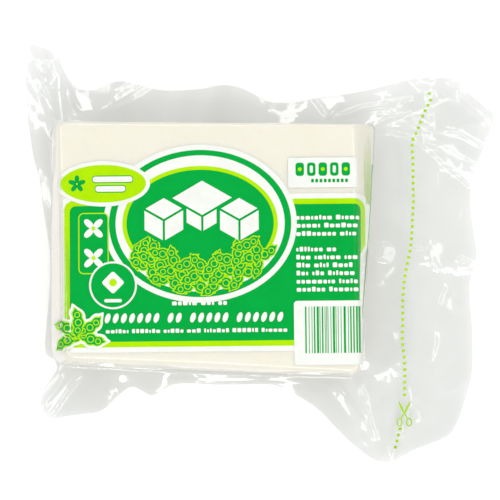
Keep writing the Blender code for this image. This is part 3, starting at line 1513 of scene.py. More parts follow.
def unit_disc(points: int) -> Piece:
    """Make a flat round shape of radius 1 mm.

    Args:
        points: How many points its outline has.

    Returns:
        The shape.
    """
    deselect_all()
    bpy.ops.mesh.primitive_circle_add(vertices=points, radius=MM, fill_type="NGON", calc_uvs=False)
    return bpy.context.object


def centred_band(outer: Point, inner: Point, points: int) -> Piece:
    """Make a flat ring round the origin.

    Args:
        outer: Its outer half width and half height.
        inner: Its inner half width and half height.
        points: How many points its outline has.

    Returns:
        The ring.
    """
    deselect_all()
    bpy.ops.mesh.primitive_circle_add(
        vertices=points, radius=1.0, fill_type="NOTHING", calc_uvs=False
    )
    piece = bpy.context.object
    piece.data.transform(Matrix.Diagonal((outer[0] * MM, outer[1] * MM, 1.0, 1.0)))
    bpy.ops.object.mode_set(mode="EDIT")
    bpy.ops.mesh.select_all(action="SELECT")
    bpy.ops.mesh.extrude_region_move()
    bpy.ops.transform.resize(
        value=(inner[0] / outer[0], inner[1] / outer[1], 1.0), center_override=(0.0, 0.0, 0.0)
    )
    bpy.ops.object.mode_set(mode="OBJECT")
    return piece


def centred_plate(size: Point, radius: float) -> Piece:
    """Make a flat rectangle with rounded corners round the origin.

    Args:
        size: Its whole width and height.
        radius: Its corners' rounding, which is kept under half of the shorter side.

    Returns:
        The rectangle.
    """
    deselect_all()
    bpy.ops.mesh.primitive_plane_add(size=1.0, calc_uvs=False)
    piece = bpy.context.object
    piece.data.transform(Matrix.Diagonal((size[0] * MM, size[1] * MM, 1.0, 1.0)))
    if radius > 0.0:
        bpy.ops.object.mode_set(mode="EDIT")
        bpy.ops.mesh.select_all(action="SELECT")
        rounding = min(radius, WIDEST_ROUNDING * min(size)) * MM
        steps = SMALL_CORNER_STEPS if radius < SMALL_CORNER else LARGE_CORNER_STEPS
        bpy.ops.mesh.bevel(offset=rounding, segments=steps, affect="VERTICES", profile=0.5)
        bpy.ops.object.mode_set(mode="OBJECT")
    return piece


def disc(centre: Point, size: Point, turn: float = 0.0, points: int = 24) -> Piece:
    """Make a flat ellipse.

    Args:
        centre: Its middle.
        size: Its half width and half height.
        turn: How far it is turned, in degrees.
        points: How many points its outline has.

    Returns:
        The flat piece.
    """
    piece = STENCILS.copy(("disc", points), lambda: unit_disc(points))
    shape = (
        Matrix.Translation((centre[0] * MM, centre[1] * MM, 0.0))
        @ Matrix.Rotation(math.radians(turn), 4, "Z")
        @ Matrix.Diagonal((size[0], size[1], 1.0, 1.0))
    )
    piece.data.transform(shape)
    return piece


def band(centre: Point, outer: Point, inner: Point, points: int = 32) -> Piece:
    """Make a flat ring.

    Args:
        centre: Its middle.
        outer: Its outer half width and half height.
        inner: Its inner half width and half height.
        points: How many points its outline has.

    Returns:
        The flat piece.
    """
    piece = STENCILS.copy(
        ("band", outer, inner, points), lambda: centred_band(outer, inner, points)
    )
    piece.data.transform(Matrix.Translation((centre[0] * MM, centre[1] * MM, 0.0)))
    return piece


def plate(centre: Point, size: Point, radius: float, turn: float = 0.0) -> Piece:
    """Make a flat rectangle with rounded corners.

    Args:
        centre: Its middle.
        size: Its whole width and height.
        radius: Its corners' rounding.
        turn: How far it is turned about its middle, in degrees.

    Returns:
        The flat piece.
    """
    piece = STENCILS.copy(("plate", size, radius), lambda: centred_plate(size, radius))
    middle = (centre[0] * MM, centre[1] * MM, 0.0)
    piece.data.transform(Matrix.Translation(middle) @ Matrix.Rotation(math.radians(turn), 4, "Z"))
    return piece


@dataclass(frozen=True)
class Frame:
    """Four sides of an upright rectangle."""

    left: float
    right: float
    low: float
    high: float

    def plate(self, radius: float, inset: float = 0.0) -> Piece:
        """Make a flat rectangle with rounded corners.

        Args:
            radius: Its corners' rounding.
            inset: How far inside the frame its sides lie.

        Returns:
            The flat piece.
        """
        left, right = self.left + inset, self.right - inset
        low, high = self.low + inset, self.high - inset
        return plate(((left + right) / 2, (low + high) / 2), (right - left, high - low), radius)


def facet(points: Sequence[Point]) -> Piece:
    """Make a flat piece with straight sides.

    Args:
        points: Its corners, in order.

    Returns:
        The flat piece.
    """
    mesh = bpy.data.meshes.new("facet")
    mesh.from_pydata([(x * MM, y * MM, 0.0) for x, y in points], [], [tuple(range(len(points)))])
    piece = bpy.data.objects.new("facet", mesh)
    bpy.context.scene.collection.objects.link(piece)
    return piece


def spot_at(centre: Point, reach: float, turn: float) -> Point:
    """Give the place at a distance from another, in a direction in degrees."""
    angle = math.radians(turn)
    return centre[0] + reach * math.cos(angle), centre[1] + reach * math.sin(angle)


def petal(
    centre: Point, length: float, width: float, turn: float, tip: float, points: int = 24
) -> Piece:
    """Make a flat leaf-like petal.

    Args:
        centre: Its middle.
        length: Its length, tip to tip.
        width: Its greatest width.
        turn: Which way it points, in degrees.
        tip: How sharp its tips are.
        points: How many points its outline has.

    Returns:
        The flat piece.
    """
    outline = []
    turn = math.radians(turn)
    for step in range(points):
        angle = 2.0 * math.pi * step / points
        along = 0.5 * length * math.cos(angle)
        across = 0.5 * width * math.copysign(abs(math.sin(angle)) ** tip, math.sin(angle))
        x = centre[0] + along * math.cos(turn) - across * math.sin(turn)
        y = centre[1] + along * math.sin(turn) + across * math.cos(turn)
        outline.append((x, y))
    return facet(outline)


@dataclass(frozen=True)
class Flower:
    """A plain flower: petals in a ring."""

    petals: int
    first_turn: float
    reach: float
    length: float
    width: float
    tip: float = 0.8

    def shapes(self, centre: Point) -> list[Piece]:
        """Make the petals.

        Args:
            centre: The flower's middle.

        Returns:
            The flat petals.
        """
        pieces = []
        for number in range(self.petals):
            turn = self.first_turn + 360.0 / self.petals * number
            spot = spot_at(centre, self.reach, turn)
            pieces.append(petal(spot, self.length, self.width, turn, self.tip))
        return pieces


def join(name: str, pieces: Sequence[Piece]) -> Piece:
    """Join flat pieces into one.

    Args:
        name: The joined piece's name.
        pieces: What to join.

    Returns:
        The joined piece.
    """
    deselect_all()
    for piece in pieces:
        piece.select_set(True)
    bpy.context.view_layer.objects.active = pieces[0]
    if len(pieces) > 1:
        bpy.ops.object.join()
    joined = bpy.context.view_layer.objects.active
    joined.name = joined.data.name = name
    return joined


class Layer(Enum):
    """The print's layers: a piece's name, its ink, and how many steps it lies above the film."""

    PANEL_EDGE = ("print_panel_edge", Ink.WHITE, 2)
    PANEL_FRAME = ("print_panel_frame", Ink.LIME, 3)
    PANEL_FIELD = ("print_panel_field", Ink.GREEN, 4)
    MEDALLION_EDGE = ("print_medallion_edge", Ink.WHITE, 5)
    MEDALLION_RING = ("print_medallion_ring", Ink.GREEN, 6)
    MEDALLION_BAND = ("print_medallion_band", Ink.WHITE, 7)
    MEDALLION_LINE = ("print_medallion_line", Ink.LIME, 8)
    MEDALLION_FIELD = ("print_medallion_field", Ink.GREEN, 9)
    GARLAND_LIME = ("print_garland_lime", Ink.LIME, 10)
    GARLAND_GREEN = ("print_garland_green", Ink.GREEN, 10)
    PLATE_LINE = ("print_plate_line", Ink.LIME, 10)
    PLATE_FIELD = ("print_plate_field", Ink.GREEN, 11)
    WHITE_SHAPES = ("print_white_shapes", Ink.WHITE, 12)
    LIME_SHAPES = ("print_lime_shapes", Ink.LIME, 13)
    CLUSTER_LIME = ("print_cluster_lime", Ink.LIME, 13)
    CLUSTER_GREEN = ("print_cluster_green", Ink.GREEN, 13)
    GREEN_SHAPES = ("print_green_shapes", Ink.GREEN, 14)
    WHITE_MARKS = ("print_white_marks", Ink.WHITE, 15)
    LIME_MARKS = ("print_lime_marks", Ink.LIME, 16)
    # painted refraction of the tented film over the block's upper right corner, laid like ink; not
    # print
    WALL_PAINTED_REFRACTION = ("painted_refraction_on_wall", Ink.PAINTED_REFRACTION, 2)
    WALL_LINE = ("print_wall_line", Ink.GREEN, 3)
    CUT_LINE = ("print_cut_line", Ink.OLIVE, 3)


class PrintSheet:
    """Flat shapes gathered layer by layer before they are laid on the film."""

    level_step = 0.001
    unturned = (Layer.WALL_PAINTED_REFRACTION, Layer.WALL_LINE, Layer.CUT_LINE)

    def __init__(self) -> None:
        """Start with every layer empty."""
        self.stack: dict[Layer, list[Piece]] = {layer: [] for layer in Layer}

    def add(self, layer: Layer, *pieces: Piece, level: int = 0) -> None:
        """Put flat shapes on a layer.

        Args:
            layer: The layer.
            *pieces: The shapes.
            level: Which of them lie over others of the layer.
        """
        for piece in pieces:
            if level:
                piece.data.transform(Matrix.Translation((0.0, 0.0, level * self.level_step * MM)))
            self.stack[layer].append(piece)

    def lay(self, press: PrintPress, step: float) -> list[tuple[Piece, Ink]]:
        """Join each layer and lay it on the film.

        Args:
            press: What lays it.
            step: The height from one layer to the next, in millimetres.

        Returns:
            The laid pieces, each with its ink.
        """
        laid = []
        for layer, shapes in self.stack.items():
            if shapes:
                name, ink, height = layer.value
                piece = join(name, shapes)
                press.lay(piece, step * height, turned=layer not in self.unturned)
                laid.append((piece, ink))
        STENCILS.clear()
        return laid


@dataclass(frozen=True)
class Pod:
    """A soya pod: three swellings in a row, each with a bean."""

    centre: Point
    turn: float
    size: float = 1.0
    level: int = 0
    levels: ClassVar[int] = 3
    swellings: tuple[Point, ...] = ((-2.5, 1.45), (0.0, 1.75), (2.5, 1.45))
    bow: float = 0.28
    bow_reach: float = 2.5
    half_length: float = 4.7
    tip_growth: float = 1.4
    half_width: float = 1.25
    bluntness: float = 0.8
    outline_points: int = 27
    edge: float = 0.42
    bean_share: float = 0.66
    bean_line: float = 0.3
    bean_points: int = 16

    def at(self, along: float, across: float) -> Point:
        """Give a place on the bowed pod.

        Args:
            along: How far along the pod it lies from the middle.
            across: How far to the side it lies.

        Returns:
            The place on the sheet.
        """
        turn = math.radians(self.turn)
        across += self.bow * (along / self.bow_reach) ** 2
        x = self.centre[0] + self.size * (along * math.cos(turn) - across * math.sin(turn))
        y = self.centre[1] + self.size * (along * math.sin(turn) + across * math.cos(turn))
        return x, y

    def body(self, margin: float) -> Piece:
        """Make the pod's shape.

        Args:
            margin: How far it reaches past the pod.

        Returns:
            The flat piece.
        """
        grow = margin / self.size
        half = self.half_length + self.tip_growth * grow
        upper = []
        for share in np.cos(np.linspace(math.pi, 0.0, self.outline_points)):
            along = half * float(share)
            across = (self.half_width + grow) * (1.0 - share * share) ** self.bluntness
            for middle, radius in self.swellings:
                reach = (radius + grow) ** 2 - (along - middle) ** 2
                across = max(across, math.sqrt(max(reach, 0.0)))
            upper.append((along, across))
        lower = [(along, -across) for along, across in reversed(upper[1:-1])]
        return facet([self.at(along, across) for along, across in upper + lower])

    def draw(self, sheet: PrintSheet, edge: Layer, body: Layer, beans: Layer) -> None:
        """Put the pod on a sheet.

        Args:
            sheet: The sheet.
            edge: The layer of its outline.
            body: The layer of its body.
            beans: The layer of its beans.
        """
        sheet.add(edge, self.body(self.edge), level=self.level)
        sheet.add(body, self.body(0.0), level=self.level + 1)
        for along, radius in self.swellings:
            outer, inner = (
                self.size * (self.bean_share * radius - part) for part in (0.0, self.bean_line)
            )
            bean = band(self.at(along, 0.0), (outer, outer), (inner, inner), self.bean_points)
            sheet.add(beans, bean, level=self.level + 2)


@dataclass(frozen=True)
class CurdCube:
    """A cut piece of tofu seen from a corner: three faces with gaps between them."""

    centre: Point
    width: float
    depth: float
    height: float
    in_front: bool = False
    gap: float = 0.42
    slant: float = math.radians(30.0)

    def corner(self, right: float, left: float, up: float) -> Point:
        """Give where a corner of the box falls on the sheet."""
        y = self.centre[1] - (right + left) * math.sin(self.slant) + up
        return self.centre[0] + (right - left) * math.cos(self.slant), y

    def faces(self) -> list[list[Point]]:
        """Give the faces that show.

        Returns:
            The corners of the top, of the left side and of the right side.
        """
        w, d, h = self.width / 2, self.depth / 2, self.height / 2
        top = [self.corner(*c) for c in ((-w, -d, h), (w, -d, h), (w, d, h), (-w, d, h))]
        left = [self.corner(*c) for c in ((-w, d, h), (w, d, h), (w, d, -h), (-w, d, -h))]
        right = [self.corner(*c) for c in ((w, d, h), (w, -d, h), (w, -d, -h), (w, d, -h))]
        return [top, left, right]

    def grown(self, points: list[Point], by: float) -> list[Point]:
        """Move the sides of a face.

        Args:
            points: The face's corners.
            by: How far the sides move outwards, or inwards where it is negative.

        Returns:
            The new corners.
        """
        ring = np.array(points)
        area = np.sum(ring[:, 0] * np.roll(ring[:, 1], -1) - np.roll(ring[:, 0], -1) * ring[:, 1])
        sides = np.roll(ring, -1, axis=0) - ring
        sides /= np.linalg.norm(sides, axis=1)[:, None]
        out = np.stack([sides[:, 1], -sides[:, 0]], axis=1) * by * math.copysign(1.0, area)
        before = np.roll(out, 1, axis=0)
        turn = 1.0 + np.sum(out * before, axis=1, keepdims=True) / (by * by)
        return [tuple(point) for point in ring + (out + before) / turn]

    def draw(self, sheet: PrintSheet) -> None:
        """Put the piece on a sheet, with a green edge where it lies in front of others.

        Args:
            sheet: The sheet.
        """
        top, left, right = self.faces()
        if self.in_front:
            outline = [top[0], top[1], right[2], right[3], left[3], top[3]]
            sheet.add(Layer.GREEN_SHAPES, facet(self.grown(outline, 2.0 * self.gap)))
        for face in (top, left, right):
            layer = Layer.WHITE_MARKS if self.in_front else Layer.WHITE_SHAPES
            sheet.add(layer, facet(self.grown(face, -self.gap)))


@dataclass
class Panel:
    """The green panel with its lime frame and white edge.

    Its right side wraps over the block's edge: the whole frame shows above the fold in the
    film, and only the field and a little white show below it.
    """

    left: float = -50.9
    low: float = -38.1
    high: float = 15.4
    corner: float = 4.0
    corner_growth: float = 0.7
    corner_points: int = 9
    fold: tuple[float, float] = (-1.0, -5.0)
    foot: float = -1.2
    stages: tuple[tuple[Layer, float, float, float], ...] = (
        (Layer.PANEL_EDGE, 1.9, 61.2, 57.9),
        (Layer.PANEL_FRAME, 0.0, 59.3, 57.0),
        (Layer.PANEL_FIELD, -2.0, 57.3, 57.0),
    )

    def outline(self, grow: float, right_above: float, right_below: float) -> list[Point]:
        """Draw one stage of the panel.

        Args:
            grow: How far it reaches past the frame's outer side.
            right_above: Where its right side is above the fold.
            right_below: Where its right side is just below the fold.

        Returns:
            Its outline, clockwise from the lower left corner.
        """
        left, low, high = self.left - grow, self.low - grow, self.high + grow
        foot = right_below + self.foot
        radius = self.corner + self.corner_growth * grow
        points: list[Point] = []
        for corner, before, after in (
            ((left, low), (1.0, 0.0), (0.0, 1.0)),
            ((left, high), (0.0, -1.0), (1.0, 0.0)),
            ((right_above, high), (-1.0, 0.0), (0.0, -1.0)),
        ):
            for t in np.linspace(0.0, 1.0, self.corner_points):
                back, on = radius * (1.0 - t) ** 2, radius * t * t
                x, y = (corner[i] + back * before[i] + on * after[i] for i in (0, 1))
                points.append((x, y))
        points += [(right_above, self.fold[0]), (right_below, self.fold[1]), (foot, low)]
        return points

    def draw(self, sheet: PrintSheet) -> None:
        """Put the panel on a sheet."""
        for layer, grow, above, below in self.stages:
            sheet.add(layer, facet(self.outline(grow, above, below)))


@dataclass
class WallPrint:
    """What shows of the print in the folds over the block's right side, and a painted refraction
    where the film tents over the block's upper right corner.
    """

    line: tuple[Point, ...] = (
        (62.3, 29.7), (61.7, 16.7), (60.9, 5.5), (59.8, -6.4), (58.6, -20.6), (57.5, -31.7),
    )
    line_width: float = 0.25
    # outline of the painted refraction: the block's yellow-green tint seen through the tented film,
    # painted as thin ink
    painted_refraction_outline: tuple[Point, ...] = (
        (59.4, 14.6), (58.9, 20.0), (58.6, 28.0), (59.0, 36.0), (60.5, 41.0), (61.6, 38.0),
        (62.0, 30.0), (61.9, 22.0), (61.6, 14.6),
    )

    def draw(self, sheet: PrintSheet) -> None:
        """Put the thin line and the painted refraction on a sheet.

        Args:
            sheet: The sheet.
        """
        upper = [(x + self.line_width / 2, y) for x, y in self.line]
        lower = [(x - self.line_width / 2, y) for x, y in reversed(self.line)]
        sheet.add(Layer.WALL_LINE, facet(upper + lower))
        sheet.add(Layer.WALL_PAINTED_REFRACTION, facet(self.painted_refraction_outline))


@dataclass
class Medallion:
    """The round shield: rings round a green field with tofu pieces over a garland of pods."""

    centre: Point = (-1.4, 6.7)
    rings: tuple[tuple[Layer, Point], ...] = (
        (Layer.MEDALLION_EDGE, (35.2, 28.9)),
        (Layer.MEDALLION_RING, (33.2, 26.9)),
        (Layer.MEDALLION_BAND, (30.8, 24.9)),
        (Layer.MEDALLION_LINE, (28.3, 21.0)),
        (Layer.MEDALLION_FIELD, (26.8, 19.6)),
    )
    ring_points: int = 128
    cubes: tuple[CurdCube, ...] = (
        CurdCube((-0.6, 13.0), 13.5, 13.5, 6.0),
        CurdCube((-14.6, 8.2), 8.6, 8.6, 8.0, True),
        CurdCube((12.9, 8.0), 8.6, 8.6, 8.0, True),
    )
    garland_size: Point = (25.0, 21.5)
    garland_start: float = 205.0
    garland_sweep: float = 130.0
    pod_leans: tuple[float, float] = (-36.0, 40.0)
    # rows of pods, the outermost first: reach across and down, how many, how large
    pod_rows: tuple[tuple[float, float, int, float], ...] = (
        (1.08, 1.08, 13, 1.12), (0.95, 0.90, 12, 1.12), (0.80, 0.71, 9, 1.1),
    )

    def draw(self, sheet: PrintSheet) -> None:
        """Put the shield on a sheet.

        Args:
            sheet: The sheet.
        """
        for layer, size in self.rings:
            sheet.add(layer, disc(self.centre, size, points=self.ring_points))
        for piece in self.cubes:
            piece.draw(sheet)
        self.draw_garland(sheet)

    def draw_garland(self, sheet: PrintSheet) -> None:
        """Put the garland along the shield's lower arc, each pod over the one before it.

        Args:
            sheet: The sheet.
        """
        level = 0
        for wide, tall, count, size in self.pod_rows:
            for number in range(count):
                share = (number + 0.5) / count
                angle = math.radians(self.garland_start + self.garland_sweep * share)
                x = self.centre[0] + self.garland_size[0] * wide * math.cos(angle)
                y = self.centre[1] + self.garland_size[1] * tall * math.sin(angle)
                lean = math.degrees(angle) + 90.0 + self.pod_leans[number % 2]
                pod = Pod((x, y), lean, size, level)
                pod.draw(sheet, Layer.GARLAND_LIME, Layer.GARLAND_GREEN, Layer.GARLAND_LIME)
                level += Pod.levels


@dataclass
class SidePlate:
    """The upright plate on the left with two plain flowers."""

    frame: Frame = Frame(-45.8, -34.7, -11.5, 10.9)
    line: float = 0.42
    corner: float = 2.0
    flower: Flower = Flower(4, 45.0, 2.35, 4.2, 2.3)
    flower_heights: tuple[float, ...] = (5.2, -5.6)
    flower_heart: Point = (0.75, 0.75)

    def draw(self, sheet: PrintSheet) -> None:
        """Put the plate on a sheet.

        Args:
            sheet: The sheet.
        """
        sheet.add(Layer.PLATE_LINE, self.frame.plate(self.corner))
        sheet.add(Layer.PLATE_FIELD, self.frame.plate(self.corner - self.line, self.line))
        for height in self.flower_heights:
            middle = ((self.frame.left + self.frame.right) / 2, height)
            sheet.add(Layer.WHITE_SHAPES, *self.flower.shapes(middle))
            sheet.add(Layer.LIME_SHAPES, disc(middle, self.flower_heart))


@dataclass
class OvalBadge:
    """The lime oval with a flower and two plain bars in place of a name."""

    centre: Point = (-36.6, 21.5)
    size: Point = (15.6, 6.9)
    edge: float = 1.45
    points: int = 96
    flower: Flower = Flower(5, 90.0, 1.75, 2.9, 1.7)
    flower_offset: float = -9.6
    # the bars: their place from the middle, and their width
    bars: tuple[Spot, ...] = ((3.4, 1.6, 14.6), (2.6, -1.9, 11.0))
    bar_height: float = 2.1
    bar_corner: float = 1.05
    bar_edge: Point = (0.6, 0.7)

    def draw(self, sheet: PrintSheet) -> None:
        """Put the oval on a sheet.

        Args:
            sheet: The sheet.
        """
        x, y = self.centre
        rim = (self.size[0] + self.edge, self.size[1] + self.edge)
        sheet.add(Layer.WHITE_SHAPES, disc(self.centre, rim, points=self.points))
        sheet.add(Layer.LIME_SHAPES, disc(self.centre, self.size, points=self.points))
        sheet.add(Layer.GREEN_SHAPES, *self.flower.shapes((x + self.flower_offset, y)))
        for right, up, width in self.bars:
            spot = (x + right, y + up)
            outer = (width + self.bar_edge[0], self.bar_height + self.bar_edge[1])
            corner = self.bar_corner + self.bar_edge[1] / 2
            sheet.add(Layer.GREEN_SHAPES, plate(spot, outer, corner))
            sheet.add(Layer.WHITE_MARKS, plate(spot, (width, self.bar_height), self.bar_corner))


@dataclass
class RoundBadge:
    """The round badge: a white ring, a green field, a white diamond, a lime dot and a bar."""

    centre: Point = (-33.2, -15.6)
    radius: float = 8.7
    ring: float = 0.7
    points: int = 64
    diamond_up: float = 1.0
    diamond_size: Point = (6.0, 6.0)
    diamond_corner: float = 0.8
    dot: Point = (1.4, 1.4)
    bar_up: float = -5.6
    bar_size: Point = (6.4, 1.2)
    bar_corner: float = 0.6

    def draw(self, sheet: PrintSheet) -> None:
        """Put the badge on a sheet.

        Args:
            sheet: The sheet.
        """
        x, y = self.centre
        for layer, radius in (
            (Layer.WHITE_SHAPES, self.radius), (Layer.GREEN_SHAPES, self.radius - self.ring)
        ):
            sheet.add(layer, disc(self.centre, (radius, radius), points=self.points))
        spot = (x, y + self.diamond_up)
        sheet.add(Layer.WHITE_MARKS, plate(spot, self.diamond_size, self.diamond_corner, 45.0))
        sheet.add(Layer.LIME_MARKS, disc(spot, self.dot))
        bar = plate((x, y + self.bar_up), self.bar_size, self.bar_corner)
        sheet.add(Layer.WHITE_MARKS, bar)


@dataclass
class PodCluster:
    """Fanned pods over the panel's lower left corner, with a white edge."""

    centre: Point = (-45.7, -33.4)
    size: float = 1.12
    edge: float = 1.3
    # each pod's direction in degrees and its distance from the centre
    fan: tuple[tuple[float, float], ...] = (
        (205.0, 4.6), (-22.0, 4.6), (150.0, 4.8), (32.0, 4.8), (92.0, 4.4),
    )

    def draw(self, sheet: PrintSheet) -> None:
        """Put the cluster on a sheet.

        Args:
            sheet: The sheet.
        """
        for number, (turn, reach) in enumerate(self.fan):
            spot = spot_at(self.centre, reach, turn)
            pod = Pod(spot, turn, self.size, Pod.levels * number)
            sheet.add(Layer.WHITE_SHAPES, pod.body(self.edge), level=number)
            pod.draw(sheet, Layer.CLUSTER_LIME, Layer.CLUSTER_GREEN, Layer.CLUSTER_LIME)


@dataclass
class MarkRows:
    """Rows of short marks that stand where lines of small print are.

    Sizes of marks and of gaps are shares of a row's height.
    """

    seed: int = 11
    # each row's left and right end, the height of its middle on the sheet, and its own height
    rows: tuple[tuple[float, float, float, float], ...] = (
        (-11.8, 8.3, -22.2, 1.8), (-35.9, 31.0, -32.3, 1.5),
        (33.5, 56.6, 8.5, 1.75), (33.5, 56.0, 5.6, 1.75), (33.5, 56.4, 2.6, 1.75),
        (33.5, 48.0, -3.1, 1.75), (33.5, 56.6, -6.0, 1.75), (33.5, 56.2, -8.9, 1.75),
        (33.5, 56.6, -11.8, 1.75), (33.5, 56.6, -14.8, 1.75), (33.5, 56.4, -17.7, 1.75),
    )
    seed_steps: tuple[int, int] = (31, 17)
    group_counts: tuple[int, int] = (3, 9)
    widths: tuple[float, ...] = (0.45, 0.75, 0.95)
    heights: tuple[float, ...] = (0.78, 0.78, 1.0)
    rounding: float = 0.22
    mark_gap: float = 0.24
    group_gap: float = 0.6
    end_gap: float = 0.5
    bean_start: Point = (-35.2, -27.6)
    bean_size: Point = (0.95, 1.85)
    bean_turn: float = -18.0
    bean_pitch: float = 2.95
    bean_gap: float = 2.2
    bean_groups: tuple[int, ...] = (7, 2, 5, 6)

    def row(
        self, sheet: PrintSheet, left: float, right: float, middle: float, height: float
    ) -> None:
        """Put one row of marks on a sheet.

        Args:
            sheet: The sheet.
            left: Where the row starts.
            right: Where the row ends.
            middle: The height of the row's middle on the sheet.
            height: How tall the marks are.
        """
        own = int(abs(left * self.seed_steps[0] + middle * self.seed_steps[1]))
        rng = np.random.default_rng(self.seed + own)
        x = left
        while x < right - self.end_gap * height:
            for _ in range(int(rng.integers(*self.group_counts))):
                width = height * float(rng.choice(self.widths))
                if x + width > right:
                    break
                tall = height * float(rng.choice(self.heights))
                spot = (x + width / 2, middle - (height - tall) / 2)
                mark = plate(spot, (width, tall), self.rounding * height)
                sheet.add(Layer.WHITE_SHAPES, mark)
                x += width + self.mark_gap * height
            x += self.group_gap * height

    def bean_row(self, sheet: PrintSheet) -> None:
        """Put the bold row of slanted beans on a sheet.

        Args:
            sheet: The sheet.
        """
        x, y = self.bean_start
        for count in self.bean_groups:
            for _ in range(count):
                sheet.add(Layer.WHITE_SHAPES, disc((x, y), self.bean_size, self.bean_turn))
                x += self.bean_pitch
            x += self.bean_gap

    def draw(self, sheet: PrintSheet) -> None:
        """Put every row on a sheet."""
        for row in self.rows:
            self.row(sheet, *row)
        self.bean_row(sheet)


@dataclass
class MarkPatch:
    """The white patch above the panel with five green tiles and a row of marks."""

    frame: Frame = Frame(30.8, 56.0, 19.4, 30.4)
    corner: float = 0.4
    tile_count: int = 5
    tile_start: Point = (4.3, 6.7)
    tile_pitch: float = 4.2
    tile_size: Point = (3.1, 4.9)
    tile_corner: float = 1.0
    slot_size: Point = (1.1, 2.7)
    slot_corner: float = 0.5
    dot: Point = (0.7, 0.7)
    mark_count: int = 9
    mark_start: Point = (8.9, 2.5)
    mark_pitch: float = 1.55
    mark_size: Point = (1.05, 1.35)
    mark_corner: float = 0.35

    def spots(self, start: Point, pitch: float, count: int) -> list[Point]:
        """Give evenly spaced places in a row, counted from the patch's lower left corner."""
        left, low = self.frame.left + start[0], self.frame.low + start[1]
        return [(left + pitch * number, low) for number in range(count)]

    def draw(self, sheet: PrintSheet) -> None:
        """Put the patch on a sheet.

        Args:
            sheet: The sheet.
        """
        sheet.add(Layer.WHITE_SHAPES, self.frame.plate(self.corner))
        spots = self.spots(self.tile_start, self.tile_pitch, self.tile_count)
        for number, spot in enumerate(spots):
            sheet.add(Layer.GREEN_SHAPES, plate(spot, self.tile_size, self.tile_corner))
            if number % 2:
                sheet.add(Layer.WHITE_MARKS, plate(spot, self.slot_size, self.slot_corner))
            else:
                sheet.add(Layer.LIME_MARKS, disc(spot, self.dot))
        for spot in self.spots(self.mark_start, self.mark_pitch, self.mark_count):
            sheet.add(Layer.GREEN_SHAPES, plate(spot, self.mark_size, self.mark_corner))


@dataclass
class BarPatch:
    """The white patch with upright green bars."""

    frame: Frame = Frame(32.4, 57.4, -45.2, -21.9)
    corner: float = 1.2
    bar_low: float = -40.9
    bar_high: float = -24.0
    left_space: float = 4.0
    right_space: float = 1.0
    module: float = 0.264
    bar_modules: tuple[int, ...] = (1, 1, 2, 3)
    gap_modules: tuple[int, ...] = (1, 2, 2, 3)
    seed: int = 5

    def draw(self, sheet: PrintSheet) -> None:
        """Put the patch on a sheet.

        Args:
            sheet: The sheet.
        """
        sheet.add(Layer.WHITE_SHAPES, self.frame.plate(self.corner))
        rng = np.random.default_rng(self.seed)
        x = self.frame.left + self.left_space
        while x < self.frame.right - self.right_space:
            width = self.module * int(rng.choice(self.bar_modules))
            bar = Frame(x, x + width, self.bar_low, self.bar_high)
            sheet.add(Layer.GREEN_SHAPES, bar.plate(0.0))
            x += width + self.module * int(rng.choice(self.gap_modules))


@dataclass
class CutLine:
    """The dotted line to cut along, with small scissors near its lower end."""

    path: tuple[Point, ...] = (
        (84.4, 57.4), (84.8, 55.0), (82.2, 50.2), (79.6, 43.2), (77.7, 39.4), (78.1, 30.2),
        (78.3, 17.2), (77.3, 2.0), (76.5, -3.2), (75.1, -9.9), (74.4, -14.7), (74.0, -20.4),
        (73.9, -31.6), (73.7, -35.7), (74.5, -42.0), (74.7, -47.3), (74.7, -57.0),
    )
    tail: tuple[Point, ...] = ((72.9, -68.5), (71.0, -76.4))
    pitch: float = 2.35
    dot: Point = (1.2, 1.1)
    dot_corner: float = 0.3
    pivot: Point = (74.6, -62.6)
    # the scissors' parts: place from the pivot, to the side and up, then size, lean and tip
    shank: Point = (-0.75, -1.2)
    shank_size: Point = (2.9, 0.5)
    shank_lean: float = 30.0
    shank_tip: float = 1.0
    loop: Point = (-1.8, -3.4)
    loop_outer: Point = (1.15, 1.6)
    loop_inner: Point = (0.7, 1.15)
    loop_points: int = 20
    blade: Point = (1.05, 2.0)
    blade_size: Point = (5.2, 0.8)
    blade_lean: float = 25.0
    blade_tip: float = 1.2

    def dots(self, sheet: PrintSheet, path: Sequence[Point]) -> None:
        """Put dots along a line on a sheet.

        Args:
            sheet: The sheet.
            path: The line's corners.
        """
        line = np.array(path)
        along = lengths_along(line)
        for place in np.arange(0.0, along[-1], self.pitch):
            x, y = (float(np.interp(place, along, line[:, axis])) for axis in (0, 1))
            sheet.add(Layer.CUT_LINE, plate((x, y), self.dot, self.dot_corner))

    def half(self, side: float) -> list[Piece]:
        """Make one half of the scissors.

        Args:
            side: Which side its blade is on: -1 for the left, 1 for the right.

        Returns:
            The shank, the loop and the blade.
        """
        shank, loop, blade = (
            (self.pivot[0] + side * across, self.pivot[1] + up)
            for across, up in (self.shank, self.loop, self.blade)
        )
        return [
            petal(shank, *self.shank_size, 90.0 - side * self.shank_lean, self.shank_tip),
            band(loop, self.loop_outer, self.loop_inner, self.loop_points),
            petal(blade, *self.blade_size, 90.0 - side * self.blade_lean, self.blade_tip),
        ]

    def draw(self, sheet: PrintSheet) -> None:
        """Put the line and the scissors on a sheet.

        Args:
            sheet: The sheet.
        """
        self.dots(sheet, self.path)
        self.dots(sheet, self.tail)
        for level, shape in enumerate(self.half(-1.0) + self.half(1.0)):
            sheet.add(Layer.CUT_LINE, shape, level=level)


class Label:
    """Everything printed on the pouch, and the painted refraction on the block's right side."""

    parts = (
        Panel, WallPrint, Medallion, SidePlate, BarPatch, MarkPatch, OvalBadge, RoundBadge,
        PodCluster, MarkRows, CutLine,
    )

    def __init__(self, press: PrintPress, step: float = 0.02) -> None:
        """Take the press, and the height of one layer of ink in millimetres."""
        self.press = press
        self.step = step

    def build(self) -> list[tuple[Piece, Ink]]:
        """Draw every part flat, then lay the layers on the film.

        Returns:
            The laid pieces, each with its ink.
        """
        sheet = PrintSheet()
        for part in self.parts:
            part().draw(sheet)
        return sheet.lay(self.press, self.step)


# ---- Studio ----


